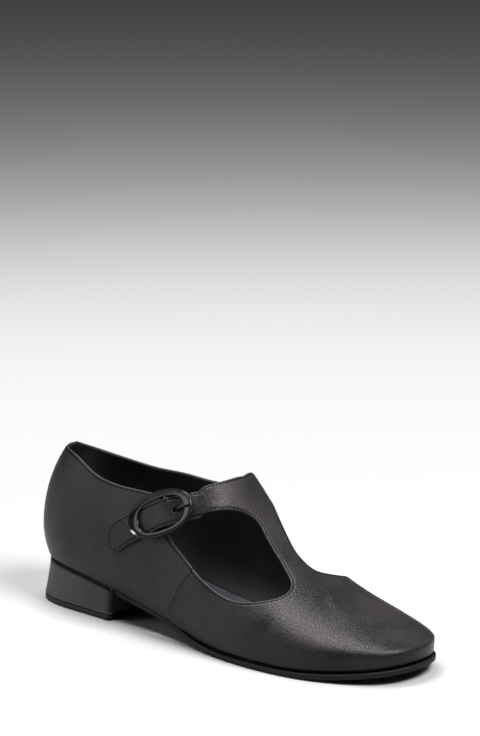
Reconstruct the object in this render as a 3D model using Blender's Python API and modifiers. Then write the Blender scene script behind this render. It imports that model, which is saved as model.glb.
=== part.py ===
# A T strap shoe for the right foot, with a low block heel, a cut-out on each side of the instep bar
# and an oval buckle on the outer side. The upper is worked out from sections that stand round the foot
# like spokes, from the back of the heel round to the toe. Lengths are in millimetres until a mesh is made.

import math

import bmesh
import bpy
import numpy as np
from mathutils import Vector
from mathutils.geometry import delaunay_2d_cdt

MM = 0.001

# The foot form
SHOE_LENGTH = 248.0
BALL_WIDTH = 82.0
INSTEP_HEIGHT = 88.0
HEEL_HEIGHT = 24.0
TOE_SPRING = 6.0
HEEL_BULGE = 5.0
WALL_RISE = 24.0

# Walls and clearances
UPPER_WALL = 1.8
SEAM_STEP = 0.7
SEAM_TAPER = 15.0
INSOLE_THICKNESS = 4.0
INSOLE_CLEARANCE = 1.1
SOLE_THICKNESS = 3.0
SOLE_EDGE = 1.3
LIFT_THICKNESS = 3.0
HEEL_FLARE = 2.8
HEEL_SEAT_DEPTH = 66.0
BREAST_SKEW = 0.17
FIT_GAP = 0.3

# Strap and buckle
STRAP_WIDTH = 15.0
STRAP_REACH = 22.0
TAIL_LENGTH = 42.0
TAIL_DROOP = 3.7
BUCKLE_LENGTH = 43.0
BUCKLE_HEIGHT = 24.0
BUCKLE_CLEARANCE = 1.05
RAIL_WIDTH = 5.6
SIDE_WIDTH = 3.0
RIM_HEIGHT = 2.5
BAR_THICKNESS = 2.0
PRONG_THICKNESS = 1.4

# Mesh spacing
SKIN_STEP = 6.2
ROW_STEP = 5.6
CLOSEST = 3.7
EDGE_STEP = 3.6
STRAP_STEP = 2.6
SOLE_STEP = 8.0

# Where the forefoot is flat on the floor, as shares of SHOE_LENGTH, and how the shank's curve eases into it
BALL_START = 0.60
SPRING_START = 0.73
SHANK_EASE = 0.85
# The part of a section's height that is lower wall, below the widest place
WALL_SHARE = 0.22
# Where the sole's edge comes out from under the upper and how long that takes, as shares of SHOE_LENGTH
EDGE_START = 0.38
EDGE_RUN = 0.16
# The bowed lower flare of the heel, as a power of the level below the seat
FLARE_POWER = 1.3

# One row for each spoke, from the back of the heel to the toe tip. spine and foot are shares of SHOE_LENGTH,
# lateral and medial of BALL_WIDTH, the two bulges of HEEL_BULGE and rise of WALL_RISE.
SPOKES = [
    # spine, foot, lateral, medial, lateral bulge, medial bulge, rise, squareness
    (0.250, 0.000, 0.000, 0.000, 0.80, 0.80, 0.74, 2.00),
    (0.250, 0.013, 0.155, 0.155, 0.82, 0.82, 0.74, 2.00),
    (0.255, 0.052, 0.265, 0.262, 0.86, 0.86, 0.76, 1.90),
    (0.270, 0.120, 0.325, 0.318, 0.90, 0.90, 0.80, 1.70),
    (0.300, 0.205, 0.345, 0.325, 0.95, 1.10, 0.84, 1.60),
    (0.360, 0.315, 0.355, 0.300, 1.10, 1.40, 0.84, 1.65),
    (0.450, 0.430, 0.385, 0.300, 1.00, 1.40, 0.78, 1.85),
    (0.540, 0.535, 0.450, 0.350, 0.75, 1.00, 0.66, 2.00),
    (0.635, 0.640, 0.500, 0.440, 0.50, 0.60, 0.54, 2.05),
    (0.720, 0.740, 0.503, 0.480, 0.30, 0.30, 0.46, 2.08),
    (0.785, 0.832, 0.458, 0.472, 0.20, 0.20, 0.40, 2.08),
    (0.820, 0.912, 0.355, 0.405, 0.12, 0.12, 0.37, 2.08),
    (0.835, 0.966, 0.235, 0.295, 0.10, 0.10, 0.36, 2.08),
    (0.840, 0.993, 0.095, 0.155, 0.10, 0.10, 0.36, 2.08),
    (0.840, 0.999, -0.035, 0.035, 0.10, 0.10, 0.36, 2.08),
]

# Height of the crest as a share of INSTEP_HEIGHT, against a share of SHOE_LENGTH
CREST = [
    (-0.10, 1.310),
    (0.00, 1.300),
    (0.15, 1.280),
    (0.30, 1.220),
    (0.42, 1.118),
    (0.50, 1.055),
    (0.55, 0.868),
    (0.60, 0.690),
    (0.65, 0.585),
    (0.70, 0.512),
    (0.77, 0.415),
    (0.84, 0.345),
    (0.90, 0.300),
    (0.95, 0.262),
    (1.00, 0.210),
    (1.05, 0.120),
]

# How far the crest sways towards the inner side as a share of BALL_WIDTH, against a share of SHOE_LENGTH
SWAY = [(0.00, 0.000), (0.25, 0.000), (0.45, 0.020), (0.65, 0.045), (0.84, 0.045), (1.00, 0.045)]

# Flare of the heel's foot as a share of HEEL_FLARE, against a share of SHOE_LENGTH
FLARE = [(-0.05, 1.20), (0.00, 1.20), (0.05, 0.90), (0.11, 0.40), (0.19, 0.15), (0.27, 0.65), (0.35, 0.65)]

# Edges on the skin. Each row is a spoke number and how far down its section the edge lies,
# from 0 at the crest to 1 at the feather edge. Spokes 0 to 14 are lateral and 14 to 28 medial.
COLLAR_LATERAL = [
    (0.00, 0.470),
    (1.30, 0.455),
    (2.60, 0.430),
    (3.75, 0.440),
    (4.70, 0.410),
    (5.30, 0.370),
    (5.75, 0.355),
]
BUCKLE_EAR = [(5.75, 0.355), (5.98, 0.385), (6.02, 0.430), (5.95, 0.475), (5.87, 0.500)]
CUT_OUT_LATERAL = [
    (5.87, 0.500),
    (6.00, 0.535),
    (6.25, 0.572),
    (6.57, 0.600),
    (6.90, 0.617),
    (7.45, 0.622),
    (8.00, 0.610),
    (8.30, 0.580),
    (8.55, 0.530),
    (8.75, 0.470),
    (8.87, 0.400),
    (8.89, 0.340),
    (8.80, 0.270),
    (8.55, 0.210),
    (8.20, 0.150),
    (7.85, 0.105),
    (7.60, 0.078),
    (7.43, 0.073),
    (7.29, 0.102),
]
STRAP_UNDER_LATERAL = [
    (7.17, 0.148),
    (7.08, 0.192),
    (6.975, 0.243),
    (6.86, 0.288),
    (6.76, 0.326),
    (6.66, 0.361),
]
STRAP_TOP_LATERAL = [
    (6.31, 0.265),
    (6.46, 0.232),
    (6.58, 0.195),
    (6.67, 0.153),
    (6.735, 0.105),
    (6.77, 0.050),
    (6.785, 0.000),
]
COLLAR_MEDIAL = [
    (21.215, 0.000),
    (21.26, 0.070),
    (21.35, 0.140),
    (21.53, 0.215),
    (21.90, 0.295),
    (22.55, 0.370),
    (23.35, 0.432),
    (24.10, 0.490),
    (25.15, 0.522),
    (26.00, 0.528),
    (26.80, 0.515),
    (28.00, 0.470),
]
CUT_OUT_MEDIAL = [
    (20.85, 0.215),
    (21.08, 0.285),
    (21.28, 0.335),
    (21.50, 0.375),
    (21.66, 0.415),
    (21.66, 0.455),
    (21.50, 0.495),
    (21.25, 0.540),
    (20.95, 0.580),
    (20.50, 0.605),
    (20.00, 0.592),
    (19.60, 0.545),
    (19.30, 0.480),
    (19.12, 0.400),
    (19.00, 0.310),
    (18.95, 0.210),
    (18.98, 0.110),
    (19.10, 0.030),
    (19.40, 0.010),
    (19.80, 0.040),
    (20.20, 0.105),
    (20.52, 0.155),
]
SEAM = [(6.80, 0.640), (6.60, 0.710), (6.40, 0.800), (6.20, 0.890), (6.00, 1.000)]

# Where the seam starts under the cut-out, on the lateral side at -1 and on the medial side at 1
SEAM_TOPS = [(0.630, -1), (0.575, 1)]
# The foot and the top of the seam's step beside its line, in spokes, and how far down it runs
SEAM_STEP_SPOKES = (-0.012, 0.018)
SEAM_START = 0.545
SEAM_END = 0.985
# Spokes between which the heel's two breast corners lie
BREAST_SPOKES = [(3, 6), (22, 25)]
# The spokes between which the crest runs on over the vamp to the toe
TOE_RIDGE = (6.9, 13.8)

# The buckle's middle and the end of the straight line along the strap, as places on the skin
BUCKLE_SEAT = (5.80, 0.443)
TAIL_TIP = (4.57, 0.688)
# The strap past the instep, in a frame that lies on the quarter at the buckle's middle. along runs up the
# strap towards the instep and lift is the height of the strap's face, both in bar thicknesses.
STRAP_LIFT = [
    # along, lift
    (-22.0, 1.02),
    (-9.0, 1.02),
    (-6.6, 1.03),
    (-4.9, 1.36),
    (-3.0, 1.86),
    (-1.4, 2.20),
    (0.0, 2.30),
    (1.4, 2.24),
    (3.0, 1.98),
    (4.7, 1.38),
    (6.2, 1.05),
    (7.8, 0.82),
    (9.3, 0.45),
    (10.3, 0.12),
    (11.0, 0.00),
]
# The rounded tail, as shares of TAIL_LENGTH along and of STRAP_WIDTH across
TAIL_END = [
    # along, across
    (-0.72, 0.50),
    (-0.84, 0.46),
    (-0.93, 0.34),
    (-0.98, 0.16),
    (-1.00, -0.06),
    (-1.00, -0.26),
    (-0.97, -0.42),
    (-0.90, -0.50),
]
# The prong's hole: its place along the strap, half its length and half its width, as shares of half the
# buckle's length
PRONG_HOLE = (0.500, 0.150, 0.085)

# The buckle's band in section: across from its inner edge, as shares of its width, and up, as shares of
# RIM_HEIGHT
BAND = [
    # across, up
    (0.00, 0.00),
    (1.00, 0.00),
    (1.06, 0.45),
    (1.04, 0.95),
    (0.96, 1.00),
    (0.88, 0.90),
    (0.70, 0.58),
    (0.35, 0.38),
    (0.00, 0.34),
]
# Points along half the bar, as shares of its half length, and how high its ends sit in the band
BAR_ACROSS = (-1, -0.985, -0.90, -0.70, -0.35)
BAR_IN_BAND = 0.2
# The prong's route, as shares of half the buckle's length, and its lifts in bar thicknesses
PRONG = [
    # along, lift
    (0.105, 0.53),
    (0.230, 0.53),
    (0.350, 0.56),
    (0.430, 0.95),
    (0.520, 1.55),
    (0.610, 2.06),
    (0.710, 2.36),
    (0.870, 2.52),
]

COLOURS = {
    # red, green, blue, roughness, metallic
    "upper": (0.020, 0.019, 0.020, 0.38, 0.0),
    "insole": (0.012, 0.012, 0.014, 0.42, 0.0),
    "outsole": (0.022, 0.021, 0.021, 0.60, 0.0),
    "heel_block": (0.035, 0.031, 0.028, 0.50, 0.0),
    "top_lift": (0.014, 0.014, 0.014, 0.75, 0.0),
    "buckle_frame": (0.016, 0.017, 0.019, 0.16, 0.0),
    "buckle_prong": (0.016, 0.017, 0.019, 0.16, 0.0),
}


def natural_spline(rows):
    """A cubic curve through rows of (place, value)."""
    place, value = np.array(rows, float).T
    count = len(place)
    span = np.diff(place)
    system = np.eye(count)
    right = np.zeros(count)
    for i in range(1, count - 1):
        system[i, i - 1 : i + 2] = span[i - 1], 2 * (span[i - 1] + span[i]), span[i]
        right[i] = 6 * ((value[i + 1] - value[i]) / span[i] - (value[i] - value[i - 1]) / span[i - 1])
    bend = np.linalg.solve(system, right)

    def read(at):
        at = np.asarray(at, float)
        i = np.clip(np.searchsorted(place, at) - 1, 0, count - 2)
        before = (place[i + 1] - at) / span[i]
        after = (at - place[i]) / span[i]
        cubic = (before**3 - before) * bend[i] + (after**3 - after) * bend[i + 1]
        return before * value[i] + after * value[i + 1] + cubic * span[i] ** 2 / 6

    return read


def ring_spline(rows):
    """A closed cubic curve through rows that are one step apart, for every column at once."""
    values = np.array(rows, float)
    count = len(values)
    system = 4 * np.eye(count) + np.roll(np.eye(count), 1, 1) + np.roll(np.eye(count), -1, 1)
    bend = np.linalg.solve(system, 6 * (np.roll(values, -1, 0) - 2 * values + np.roll(values, 1, 0)))

    def read(at):
        at = np.asarray(at, float) % count
        i = np.floor(at).astype(int) % count
        k = (i + 1) % count
        after = (at - np.floor(at))[..., None]
        before = 1 - after
        cubic = (before**3 - before) * bend[i] + (after**3 - after) * bend[k]
        return before * values[i] + after * values[k] + cubic / 6

    return read


def smooth(share):
    share = np.clip(share, 0, 1)
    return share * share * (3 - 2 * share)


def unit(vector):
    return vector / np.linalg.norm(vector, axis=-1, keepdims=True)


def feather_height(x):
    """Height of the edge where upper and sole meet."""
    share = np.asarray(x, float) / SHOE_LENGTH
    ball = SOLE_THICKNESS + FIT_GAP
    shank = smooth(np.clip((BALL_START - share) / BALL_START, 0, 1) ** SHANK_EASE)
    spring = np.clip((share - SPRING_START) / (1 - SPRING_START), 0, None) ** 2
    return ball + (HEEL_HEIGHT - ball) * shank + TOE_SPRING * spring


def spoke_rows():
    rows = []
    for spine, foot, lateral, medial, lateral_bulge, medial_bulge, rise, squareness in SPOKES:
        rows.append((spine, foot, -lateral, lateral_bulge, rise, squareness))
    for spine, foot, lateral, medial, lateral_bulge, medial_bulge, rise, squareness in SPOKES[-2:0:-1]:
        rows.append((spine, foot, medial, medial_bulge, rise, squareness))
    return rows


SPOKE_COUNT = 2 * (len(SPOKES) - 1)
# Distance from one spoke to the next along the sides
SPOKE_PITCH = 3 * SHOE_LENGTH / SPOKE_COUNT
crest_share = natural_spline(CREST)
sway_share = natural_spline(SWAY)
read_spokes = ring_spline(spoke_rows())


def spoke_plan(spoke):
    """Start on the spine, direction, length and the row's other columns, for each spoke."""
    row = read_spokes(spoke)
    start = np.stack([row[:, 0] * SHOE_LENGTH, sway_share(row[:, 0]) * BALL_WIDTH], -1)
    foot = np.stack([row[:, 1] * SHOE_LENGTH, row[:, 2] * BALL_WIDTH], -1)
    reach = np.linalg.norm(foot - start, axis=1)
    return start, (foot - start) / reach[:, None], reach, foot, row[:, 3:]


def sections(spoke):
    """Whole sections, from the crest down to the feather edge: a lower wall, and a rounded part above it."""
    start, heading, reach, foot, others = spoke_plan(spoke)
    bulge, rise, squareness = others.T
    widest = reach + bulge * HEEL_BULGE
    foot_z = feather_height(foot[:, 0])
    widest_z = foot_z + rise * WALL_RISE
    share = np.r_[np.linspace(0, WALL_SHARE, 14)[:-1], np.linspace(WALL_SHARE, 1, 60)][::-1]
    low = np.clip(1 - share / WALL_SHARE, 0, 1)
    high = np.clip((share - WALL_SHARE) / (1 - WALL_SHARE), 0, 1) * math.pi / 2
    wall = widest[:, None] - (widest - reach)[:, None] * low**2
    dome = widest[:, None] * np.clip(np.cos(high), 0, 1) ** (2 / squareness)[:, None]
    out = np.where(share < WALL_SHARE, wall, dome)
    x = start[:, :1] + heading[:, :1] * out
    y = start[:, 1:] + heading[:, 1:] * out
    crest = crest_share(x / SHOE_LENGTH) * INSTEP_HEIGHT
    wall_z = widest_z[:, None] - (widest_z - foot_z)[:, None] * low
    dome_z = widest_z[:, None] + (crest - widest_z[:, None]) * np.sin(high)
    return np.stack([x, y, np.where(share < WALL_SHARE, wall_z, dome_z)], -1)


def girths(spoke):
    """Distance walked down each section."""
    points = sections(spoke)
    steps = np.linalg.norm(np.diff(points, axis=1), axis=2)
    return points, np.concatenate([np.zeros((len(points), 1)), np.cumsum(steps, 1)], 1)


def skin(spoke, down):
    """Points on the outer face of the upper."""
    spoke, down = np.broadcast_arrays(np.atleast_1d(spoke), np.atleast_1d(down))
    points, walked = girths(spoke.ravel())
    target = np.clip(down.ravel(), 0, 1) * walked[:, -1]
    i = np.clip((walked < target[:, None]).sum(1) - 1, 0, walked.shape[1] - 2)
    k = np.arange(len(points))
    share = ((target - walked[k, i]) / (walked[k, i + 1] - walked[k, i]))[:, None]
    return points[k, i] * (1 - share) + points[k, i + 1] * share


def skin_normal(spoke, down):
    """Outward normals of the skin, from two small steps."""
    ahead = skin(spoke + 0.03, down) - skin(spoke - 0.03, down)
    below = skin(spoke, np.minimum(down + 0.008, 1)) - skin(spoke, down - 0.008)
    return unit(np.cross(below, ahead))


def flat_place(spoke, down):
    """The same points unrolled round the spine, on which the skin is divided into triangles."""
    start, heading, *_ = spoke_plan(spoke)
    return start + heading * (down * girths(spoke)[1][:, -1])[:, None]


def run_along(rows, step, closed=False):
    """Points (spoke, down) at even steps on a smooth edge through the rows."""
    rows = np.array(rows, float)
    if closed:
        rows = np.concatenate([rows[-3:], rows, rows[:4]])
    walked = np.r_[0, np.cumsum(np.linalg.norm(np.diff(skin(*rows.T), axis=0), axis=1))]
    spoke = natural_spline(np.c_[walked, rows[:, 0]])
    down = natural_spline(np.c_[walked, rows[:, 1]])
    first, last = (walked[3], walked[-4]) if closed else (walked[0], walked[-1])
    at = np.linspace(first, last, max(2, round((last - first) / step) + 1))
    if closed:
        at = at[:-1]
    return np.c_[spoke(at), np.clip(down(at), 0, 1)]


class BuckleSeat:
    """A flat frame on the quarter at the buckle's middle: along the strap, across it and up from the skin."""

    def __init__(self):
        spoke, down = np.array(BUCKLE_SEAT)[:, None]
        self.middle = skin(spoke, down)[0]
        self.up = skin_normal(spoke, down)[0]
        tip = skin(*np.array(TAIL_TIP)[:, None])[0]
        way = self.middle - tip
        self.along = unit(way - self.up * way.dot(self.up))
        self.across = np.cross(self.up, self.along)
        self.bow = self.skin_lift(np.array([-0.5, 0.5]) * BUCKLE_LENGTH, np.zeros(2)).mean()

    def on_skin(self, along, across):
        """The skin's (spoke, down) under each place of the frame, found by a few corrected guesses."""
        along, across = np.broadcast_arrays(np.asarray(along, float), np.asarray(across, float))
        want = np.stack([along.ravel(), across.ravel()], -1)
        guess = np.repeat([BUCKLE_SEAT], len(want), 0)

        def place(at):
            offset = skin(*at.T) - self.middle
            return np.stack([offset @ self.along, offset @ self.across], -1)

        for _ in range(12):
            here = place(guess)
            by_spoke = (place(guess + [0.02, 0]) - here) / 0.02
            by_down = (place(guess + [0, 0.004]) - here) / 0.004
            change = np.linalg.solve(np.stack([by_spoke, by_down], -1), (want - here)[..., None])[..., 0]
            guess = guess + np.clip(change, [-0.4, -0.12], [0.4, 0.12])
        return guess

    def skin_lift(self, along, across):
        return (skin(*self.on_skin(along, across).T) - self.middle) @ self.up

    def point(self, along, across, lift):
        values = np.broadcast_arrays(*[np.asarray(value, float) for value in (along, across, lift)])
        offsets = np.stack([value.ravel() for value in values], -1)
        return self.middle + offsets @ [self.along, self.across, self.up]

    def over_skin(self, along, across, lift):
        """A place at a lift above the skin, for the strap."""
        return self.point(along, across, self.skin_lift(along, across) + np.asarray(lift).ravel())

    def over_bow(self, along, across, lift):
        """A place at a lift above the buckle's own even bow, for the rigid pieces."""
        return self.point(along, across, self.bow * (2 * along / BUCKLE_LENGTH) ** 2 + lift)


def strap_lift(along):
    return np.clip(natural_spline(STRAP_LIFT)(along / BAR_THICKNESS), 0, None) * BAR_THICKNESS


def tail_droop(along):
    """How far the tail curves down from a straight line."""
    return TAIL_DROOP * (np.minimum(along, 0) / TAIL_LENGTH) ** 2


def seam_spoke(down):
    spoke, table_down = np.array(SEAM).T
    return np.interp(down, table_down, spoke)


def seam_rise(spoke, down):
    """How far the front panel stands up where it overlaps the quarter, fading forwards."""
    spoke = np.where(spoke > SPOKE_COUNT / 2, SPOKE_COUNT - spoke, spoke)
    ahead = (spoke - seam_spoke(down)) * SPOKE_PITCH
    fade = 1 - smooth(ahead / SEAM_TAPER)
    return np.where((ahead > 0) & (down > SEAM_START), SEAM_STEP * fade, 0.0)


def make_object(name, mesh_or_bm):
    if isinstance(mesh_or_bm, bmesh.types.BMesh):
        mesh = bpy.data.meshes.new(name)
        mesh_or_bm.to_mesh(mesh)
        mesh_or_bm.free()
    else:
        mesh = mesh_or_bm
    item = bpy.data.objects.new(name, mesh)
    shoe.objects.link(item)
    red, green, blue, roughness, metallic = COLOURS[name]
    material = bpy.data.materials.new(name)
    material.use_nodes = True
    shader = material.node_tree.nodes["Principled BSDF"]
    shader.inputs["Base Color"].default_value = (red, green, blue, 1)
    shader.inputs["Roughness"].default_value = roughness
    shader.inputs["Metallic"].default_value = metallic
    mesh.materials.clear()
    mesh.materials.append(material)
    return item


def divide(loops, flat, lines=()):
    """Triangles of a flat region: its closed edges and kept lines come first among the flat points."""
    edges = []
    count = 0
    for size, closed in [(len(loop), True) for loop in loops] + [(len(line), False) for line in lines]:
        edges += [(count + i, count + (i + 1) % size) for i in range(size if closed else size - 1)]
        count += size
    points, _, faces, origins, *_ = delaunay_2d_cdt([Vector(at) for at in flat], edges, [], 2, 1e-6)
    outline = [flat[start:stop] for start, stop in spans(loops)]
    sources = [origin[0] for origin in origins]
    kept = []
    for face in faces:
        middle = np.mean([points[i] for i in face], axis=0)
        if sum(encloses(loop, middle) for loop in outline) % 2 == 1:
            kept.append([sources[i] for i in face])
    return kept


def spans(runs):
    """Where each run of points starts and stops when they are joined."""
    stops = np.cumsum([len(run) for run in runs])
    return [(stop - len(run), stop) for stop, run in zip(stops, runs)]


def encloses(loop, point):
    x, y = loop.T
    x_next, y_next = np.roll(loop, -1, 0).T
    crosses = (y > point[1]) != (y_next > point[1])
    at = x + (point[1] - y) * (x_next - x) / np.where(y_next == y, 1, y_next - y)
    return (crosses & (point[0] < at)).sum() % 2 == 1


def mesh_from(points, faces, keep=()):
    """A mesh from millimetre points, its triangles turned to the rounder of their two diagonals."""
    bm = bmesh.new()
    verts = [bm.verts.new(point * MM) for point in points]
    for face in faces:
        bm.faces.new([verts[i] for i in face])
    fixed = {frozenset(pair) for pair in keep}
    index = {vert: i for i, vert in enumerate(verts)}
    free = [
        edge
        for edge in bm.edges
        if len(edge.link_faces) == 2 and frozenset(index[vert] for vert in edge.verts) not in fixed
    ]
    bmesh.ops.beautify_fill(bm, faces=bm.faces[:], edges=free, use_restrict_tag=False, method="ANGLE")
    return bm


def even_ring(place, step):
    """Spokes at even steps round a closed line on the skin."""
    fine = np.linspace(0, SPOKE_COUNT, 40 * SPOKE_COUNT + 1)
    walked = np.r_[0, np.cumsum(np.linalg.norm(np.diff(place(fine), axis=0), axis=1))]
    count = max(3, round(walked[-1] / step))
    return np.interp(np.arange(count) / count * walked[-1], walked, fine)


def upper_edges(seat):
    """The closed edges of the upper as (spoke, down): feather edge, main opening and medial cut-out."""
    feather = even_ring(lambda spoke: skin(spoke, 1.0), SKIN_STEP)
    strap_end = seat.on_skin(STRAP_REACH, np.linspace(-0.5, 0.5, 5) * STRAP_WIDTH)
    under = [*CUT_OUT_LATERAL, *past_strap_end(seat, STRAP_UNDER_LATERAL), tuple(strap_end[0])]
    runs = [
        run_along(COLLAR_LATERAL, EDGE_STEP * 1.5),
        run_along(BUCKLE_EAR, EDGE_STEP),
        run_along(under, EDGE_STEP),
        strap_end,
        run_along([tuple(strap_end[-1]), *past_strap_end(seat, STRAP_TOP_LATERAL)], EDGE_STEP),
        run_along(COLLAR_MEDIAL, EDGE_STEP * 1.5),
    ]
    opening = np.concatenate([run[:-1] for run in runs])
    cut_out = run_along(CUT_OUT_MEDIAL, EDGE_STEP, closed=True)
    return [np.c_[feather, np.ones(len(feather))], opening, cut_out]


def past_strap_end(seat, rows):
    """The rows of a strap's edge that lie ahead of the strap's end on the skin."""
    along = (skin(*np.array(rows).T) - seat.middle) @ seat.along
    return [row for row, at in zip(rows, along) if at > STRAP_REACH + EDGE_STEP / 2]


def seam_lines():
    """On each side the foot and the top of the step where the front panel overlaps the quarter."""
    lines = []
    for shift in SEAM_STEP_SPOKES:
        for top, side in SEAM_TOPS:
            down = np.linspace(top, SEAM_END, 10)
            spoke = seam_spoke(down) + shift
            lines.append(np.c_[spoke if side < 0 else SPOKE_COUNT - spoke, down])
    return lines


def free_points(taken):
    """Points between the edges, on rows that lie side by side from the feather edge up, none too close."""
    kept = list(skin(*taken.T))
    ridge = run_along([(TOE_RIDGE[0], 0.0), (sum(TOE_RIDGE) / 2, 0.0), (TOE_RIDGE[1], 0.0)], SKIN_STEP)
    rows = [np.c_[ridge[:, 0], np.zeros(len(ridge))]]
    longest = girths(np.arange(SPOKE_COUNT))[1][:, -1].max()
    for height in np.arange(ROW_STEP, longest, ROW_STEP):
        def place(spoke):
            return np.c_[spoke % SPOKE_COUNT, 1 - height / girths(spoke)[1][:, -1]]

        spokes = even_ring(lambda spoke: skin(*place(spoke).T), SKIN_STEP)
        row = place(spokes + 0.5 * (len(rows) % 2) * SPOKE_COUNT / len(spokes))
        rows.append(row[row[:, 1] > 0.03])
    free = []
    for at in np.concatenate(rows):
        point = skin(*at[:, None])[0]
        if np.linalg.norm(np.array(kept) - point, axis=1).min() > CLOSEST:
            kept.append(point)
            free.append(at)
    return np.array(free)


def tail_points():
    """The strap beyond its end on the skin, in the seat's frame: outline, prong hole and points between."""
    end = np.c_[np.full(5, STRAP_REACH), np.linspace(-0.5, 0.5, 5) * STRAP_WIDTH]
    side = np.arange(STRAP_REACH - STRAP_STEP, TAIL_END[0][0] * TAIL_LENGTH, -STRAP_STEP)
    tip = np.array(TAIL_END) * [TAIL_LENGTH, STRAP_WIDTH]
    far = np.c_[side, np.full(len(side), 0.5 * STRAP_WIDTH)]
    near = np.c_[side[::-1], np.full(len(side), -0.5 * STRAP_WIDTH)]
    near = near[near[:, 0] > tip[-1, 0] + STRAP_STEP / 2]
    along, half_length, half_width = np.array(PRONG_HOLE) * BUCKLE_LENGTH / 2
    turn = np.linspace(0, 2 * math.pi, 13)[:-1]
    hole = np.c_[along + half_length * np.cos(turn), half_width * np.sin(turn)]
    rows = np.arange(STRAP_REACH - STRAP_STEP, -0.9 * TAIL_LENGTH, -STRAP_STEP)
    grid = np.array([(x, share * STRAP_WIDTH) for x in rows for share in (-0.25, 0, 0.25)])
    margin = STRAP_STEP / 2
    clear = np.hypot((grid[:, 0] - along) / (half_length + margin), grid[:, 1] / (half_width + margin)) > 1
    return [np.concatenate([end, far, tip, near]), hole], grid[clear]


def make_upper(seat):
    loops = upper_edges(seat)
    lines = seam_lines()
    edges = np.concatenate(loops + lines)
    places = np.concatenate([edges, free_points(edges)])
    flat = flat_place(*places.T)
    faces = divide(loops, flat, lines)
    rise = seam_rise(*places.T)
    step_lines = spans(loops + lines)[len(loops) :]
    for start, stop in step_lines[: len(SEAM_TOPS)]:
        rise[start:stop] = 0
    points = skin(*places.T) + skin_normal(*places.T) * rise[:, None]

    tail_loops, tail_inside = tail_points()
    tail = np.concatenate([*tail_loops, tail_inside])
    tail_faces = divide(tail_loops, tail)
    tail_skin = seat.over_skin(tail[:, 0], tail[:, 1] - tail_droop(tail[:, 0]), strap_lift(tail[:, 0]))

    kept = [(i, i + 1) for start, stop in step_lines for i in range(start, stop - 1)]
    bm = mesh_from(points, faces, kept)
    wall = bm.verts.layers.deform.new()
    for vert, height in zip(bm.verts, rise):
        vert[wall][0] = (UPPER_WALL + height) / (UPPER_WALL + SEAM_STEP)
    strap = mesh_from(tail_skin, tail_faces)
    copies = [bm.verts.new(vert.co) for vert in strap.verts]
    for vert in copies:
        vert[wall][0] = UPPER_WALL / (UPPER_WALL + SEAM_STEP)
    strap.verts.index_update()
    for face in strap.faces:
        bm.faces.new([copies[vert.index] for vert in face.verts])
    strap.free()
    bmesh.ops.delete(bm, geom=[vert for vert in bm.verts if not vert.link_faces], context="VERTS")
    bmesh.ops.remove_doubles(bm, verts=bm.verts, dist=0.02 * MM)
    upper = make_object("upper", bm)
    upper.vertex_groups.new(name="wall")
    shell = upper.modifiers.new("wall", "SOLIDIFY")
    shell.thickness = (UPPER_WALL + SEAM_STEP) * MM
    shell.offset = -1
    shell.use_even_offset = True
    shell.use_quality_normals = True
    shell.vertex_group = "wall"
    return upper


def foot_line(spoke, offset):
    """Plan of the feather edge, moved outwards."""
    foot = spoke_plan(spoke)[3]
    ahead = spoke_plan(spoke + 0.02)[3] - spoke_plan(spoke - 0.02)[3]
    outward = unit(np.c_[ahead[:, 1], -ahead[:, 0]])
    return foot + outward * np.broadcast_to(offset, len(foot))[:, None]


def breast_at(y):
    return HEEL_SEAT_DEPTH + BREAST_SKEW * y


def ahead_of(outline, y_to_x):
    """The part of a closed outline in front of a line across the shoe."""
    kept = []
    side = outline[:, 0] - y_to_x(outline[:, 1])
    for i, here in enumerate(outline):
        k = (i + 1) % len(outline)
        if side[i] > 0:
            kept.append(here)
        if (side[i] > 0) != (side[k] > 0):
            kept.append(here + (outline[k] - here) * side[i] / (side[i] - side[k]))
    return np.array(kept)


def sheet(outline, step, height):
    """Points and triangles of a sheet over an outline, curved along the shoe as height says."""
    low, high = outline.min(0), outline.max(0)
    xs = np.arange(low[0] + step / 2, high[0], step)
    ys = np.arange(low[1] + step / 2, high[1], step * 1.6)
    grid = np.array([(x, y) for x in xs for y in ys]).reshape(-1, 2)
    gaps = np.linalg.norm(outline - grid[:, None], axis=2).min(1)
    clear = [gap > step * 0.55 and encloses(outline, at) for gap, at in zip(gaps, grid)]
    flat = np.concatenate([outline, grid[clear]]) if any(clear) else outline
    return np.c_[flat, height(flat[:, 0])], divide([outline], flat)


def make_plate(name, outline, step, height, thickness):
    """A sheet whose top follows height, thickened downwards."""
    points, faces = sheet(outline, step, height)
    plate = make_object(name, mesh_from(points, faces))
    solid = plate.modifiers.new("thickness", "SOLIDIFY")
    solid.thickness = thickness * MM
    solid.offset = -1
    solid.use_even_offset = True
    return plate


def sole_edge(x):
    """How far the outsole stands out past the upper: tucked under at the waist, a narrow edge in front."""
    out = smooth((x / SHOE_LENGTH - EDGE_START) / EDGE_RUN)
    return SOLE_EDGE * out - (UPPER_WALL + FIT_GAP) * (1 - out)


def make_sole():
    ring = even_ring(lambda spoke: np.c_[foot_line(spoke, 0), np.zeros(len(spoke))], SOLE_STEP * 0.75)
    outline = foot_line(ring, sole_edge(foot_line(ring, 0)[:, 0]))
    slope = feather_height(HEEL_SEAT_DEPTH - 0.5) - feather_height(HEEL_SEAT_DEPTH + 0.5)
    lean = SOLE_THICKNESS * slope
    front = ahead_of(outline, lambda y: breast_at(y) + FIT_GAP + lean)
    return make_plate("outsole", front, SOLE_STEP, lambda x: feather_height(x) - FIT_GAP, SOLE_THICKNESS)


def make_insole():
    ring = even_ring(lambda spoke: np.c_[foot_line(spoke, 0), np.zeros(len(spoke))], SOLE_STEP)
    outline = foot_line(ring, -(UPPER_WALL + INSOLE_CLEARANCE))
    return make_plate(
        "insole", outline, SOLE_STEP, lambda x: feather_height(x) + INSOLE_THICKNESS, INSOLE_THICKNESS
    )


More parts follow.
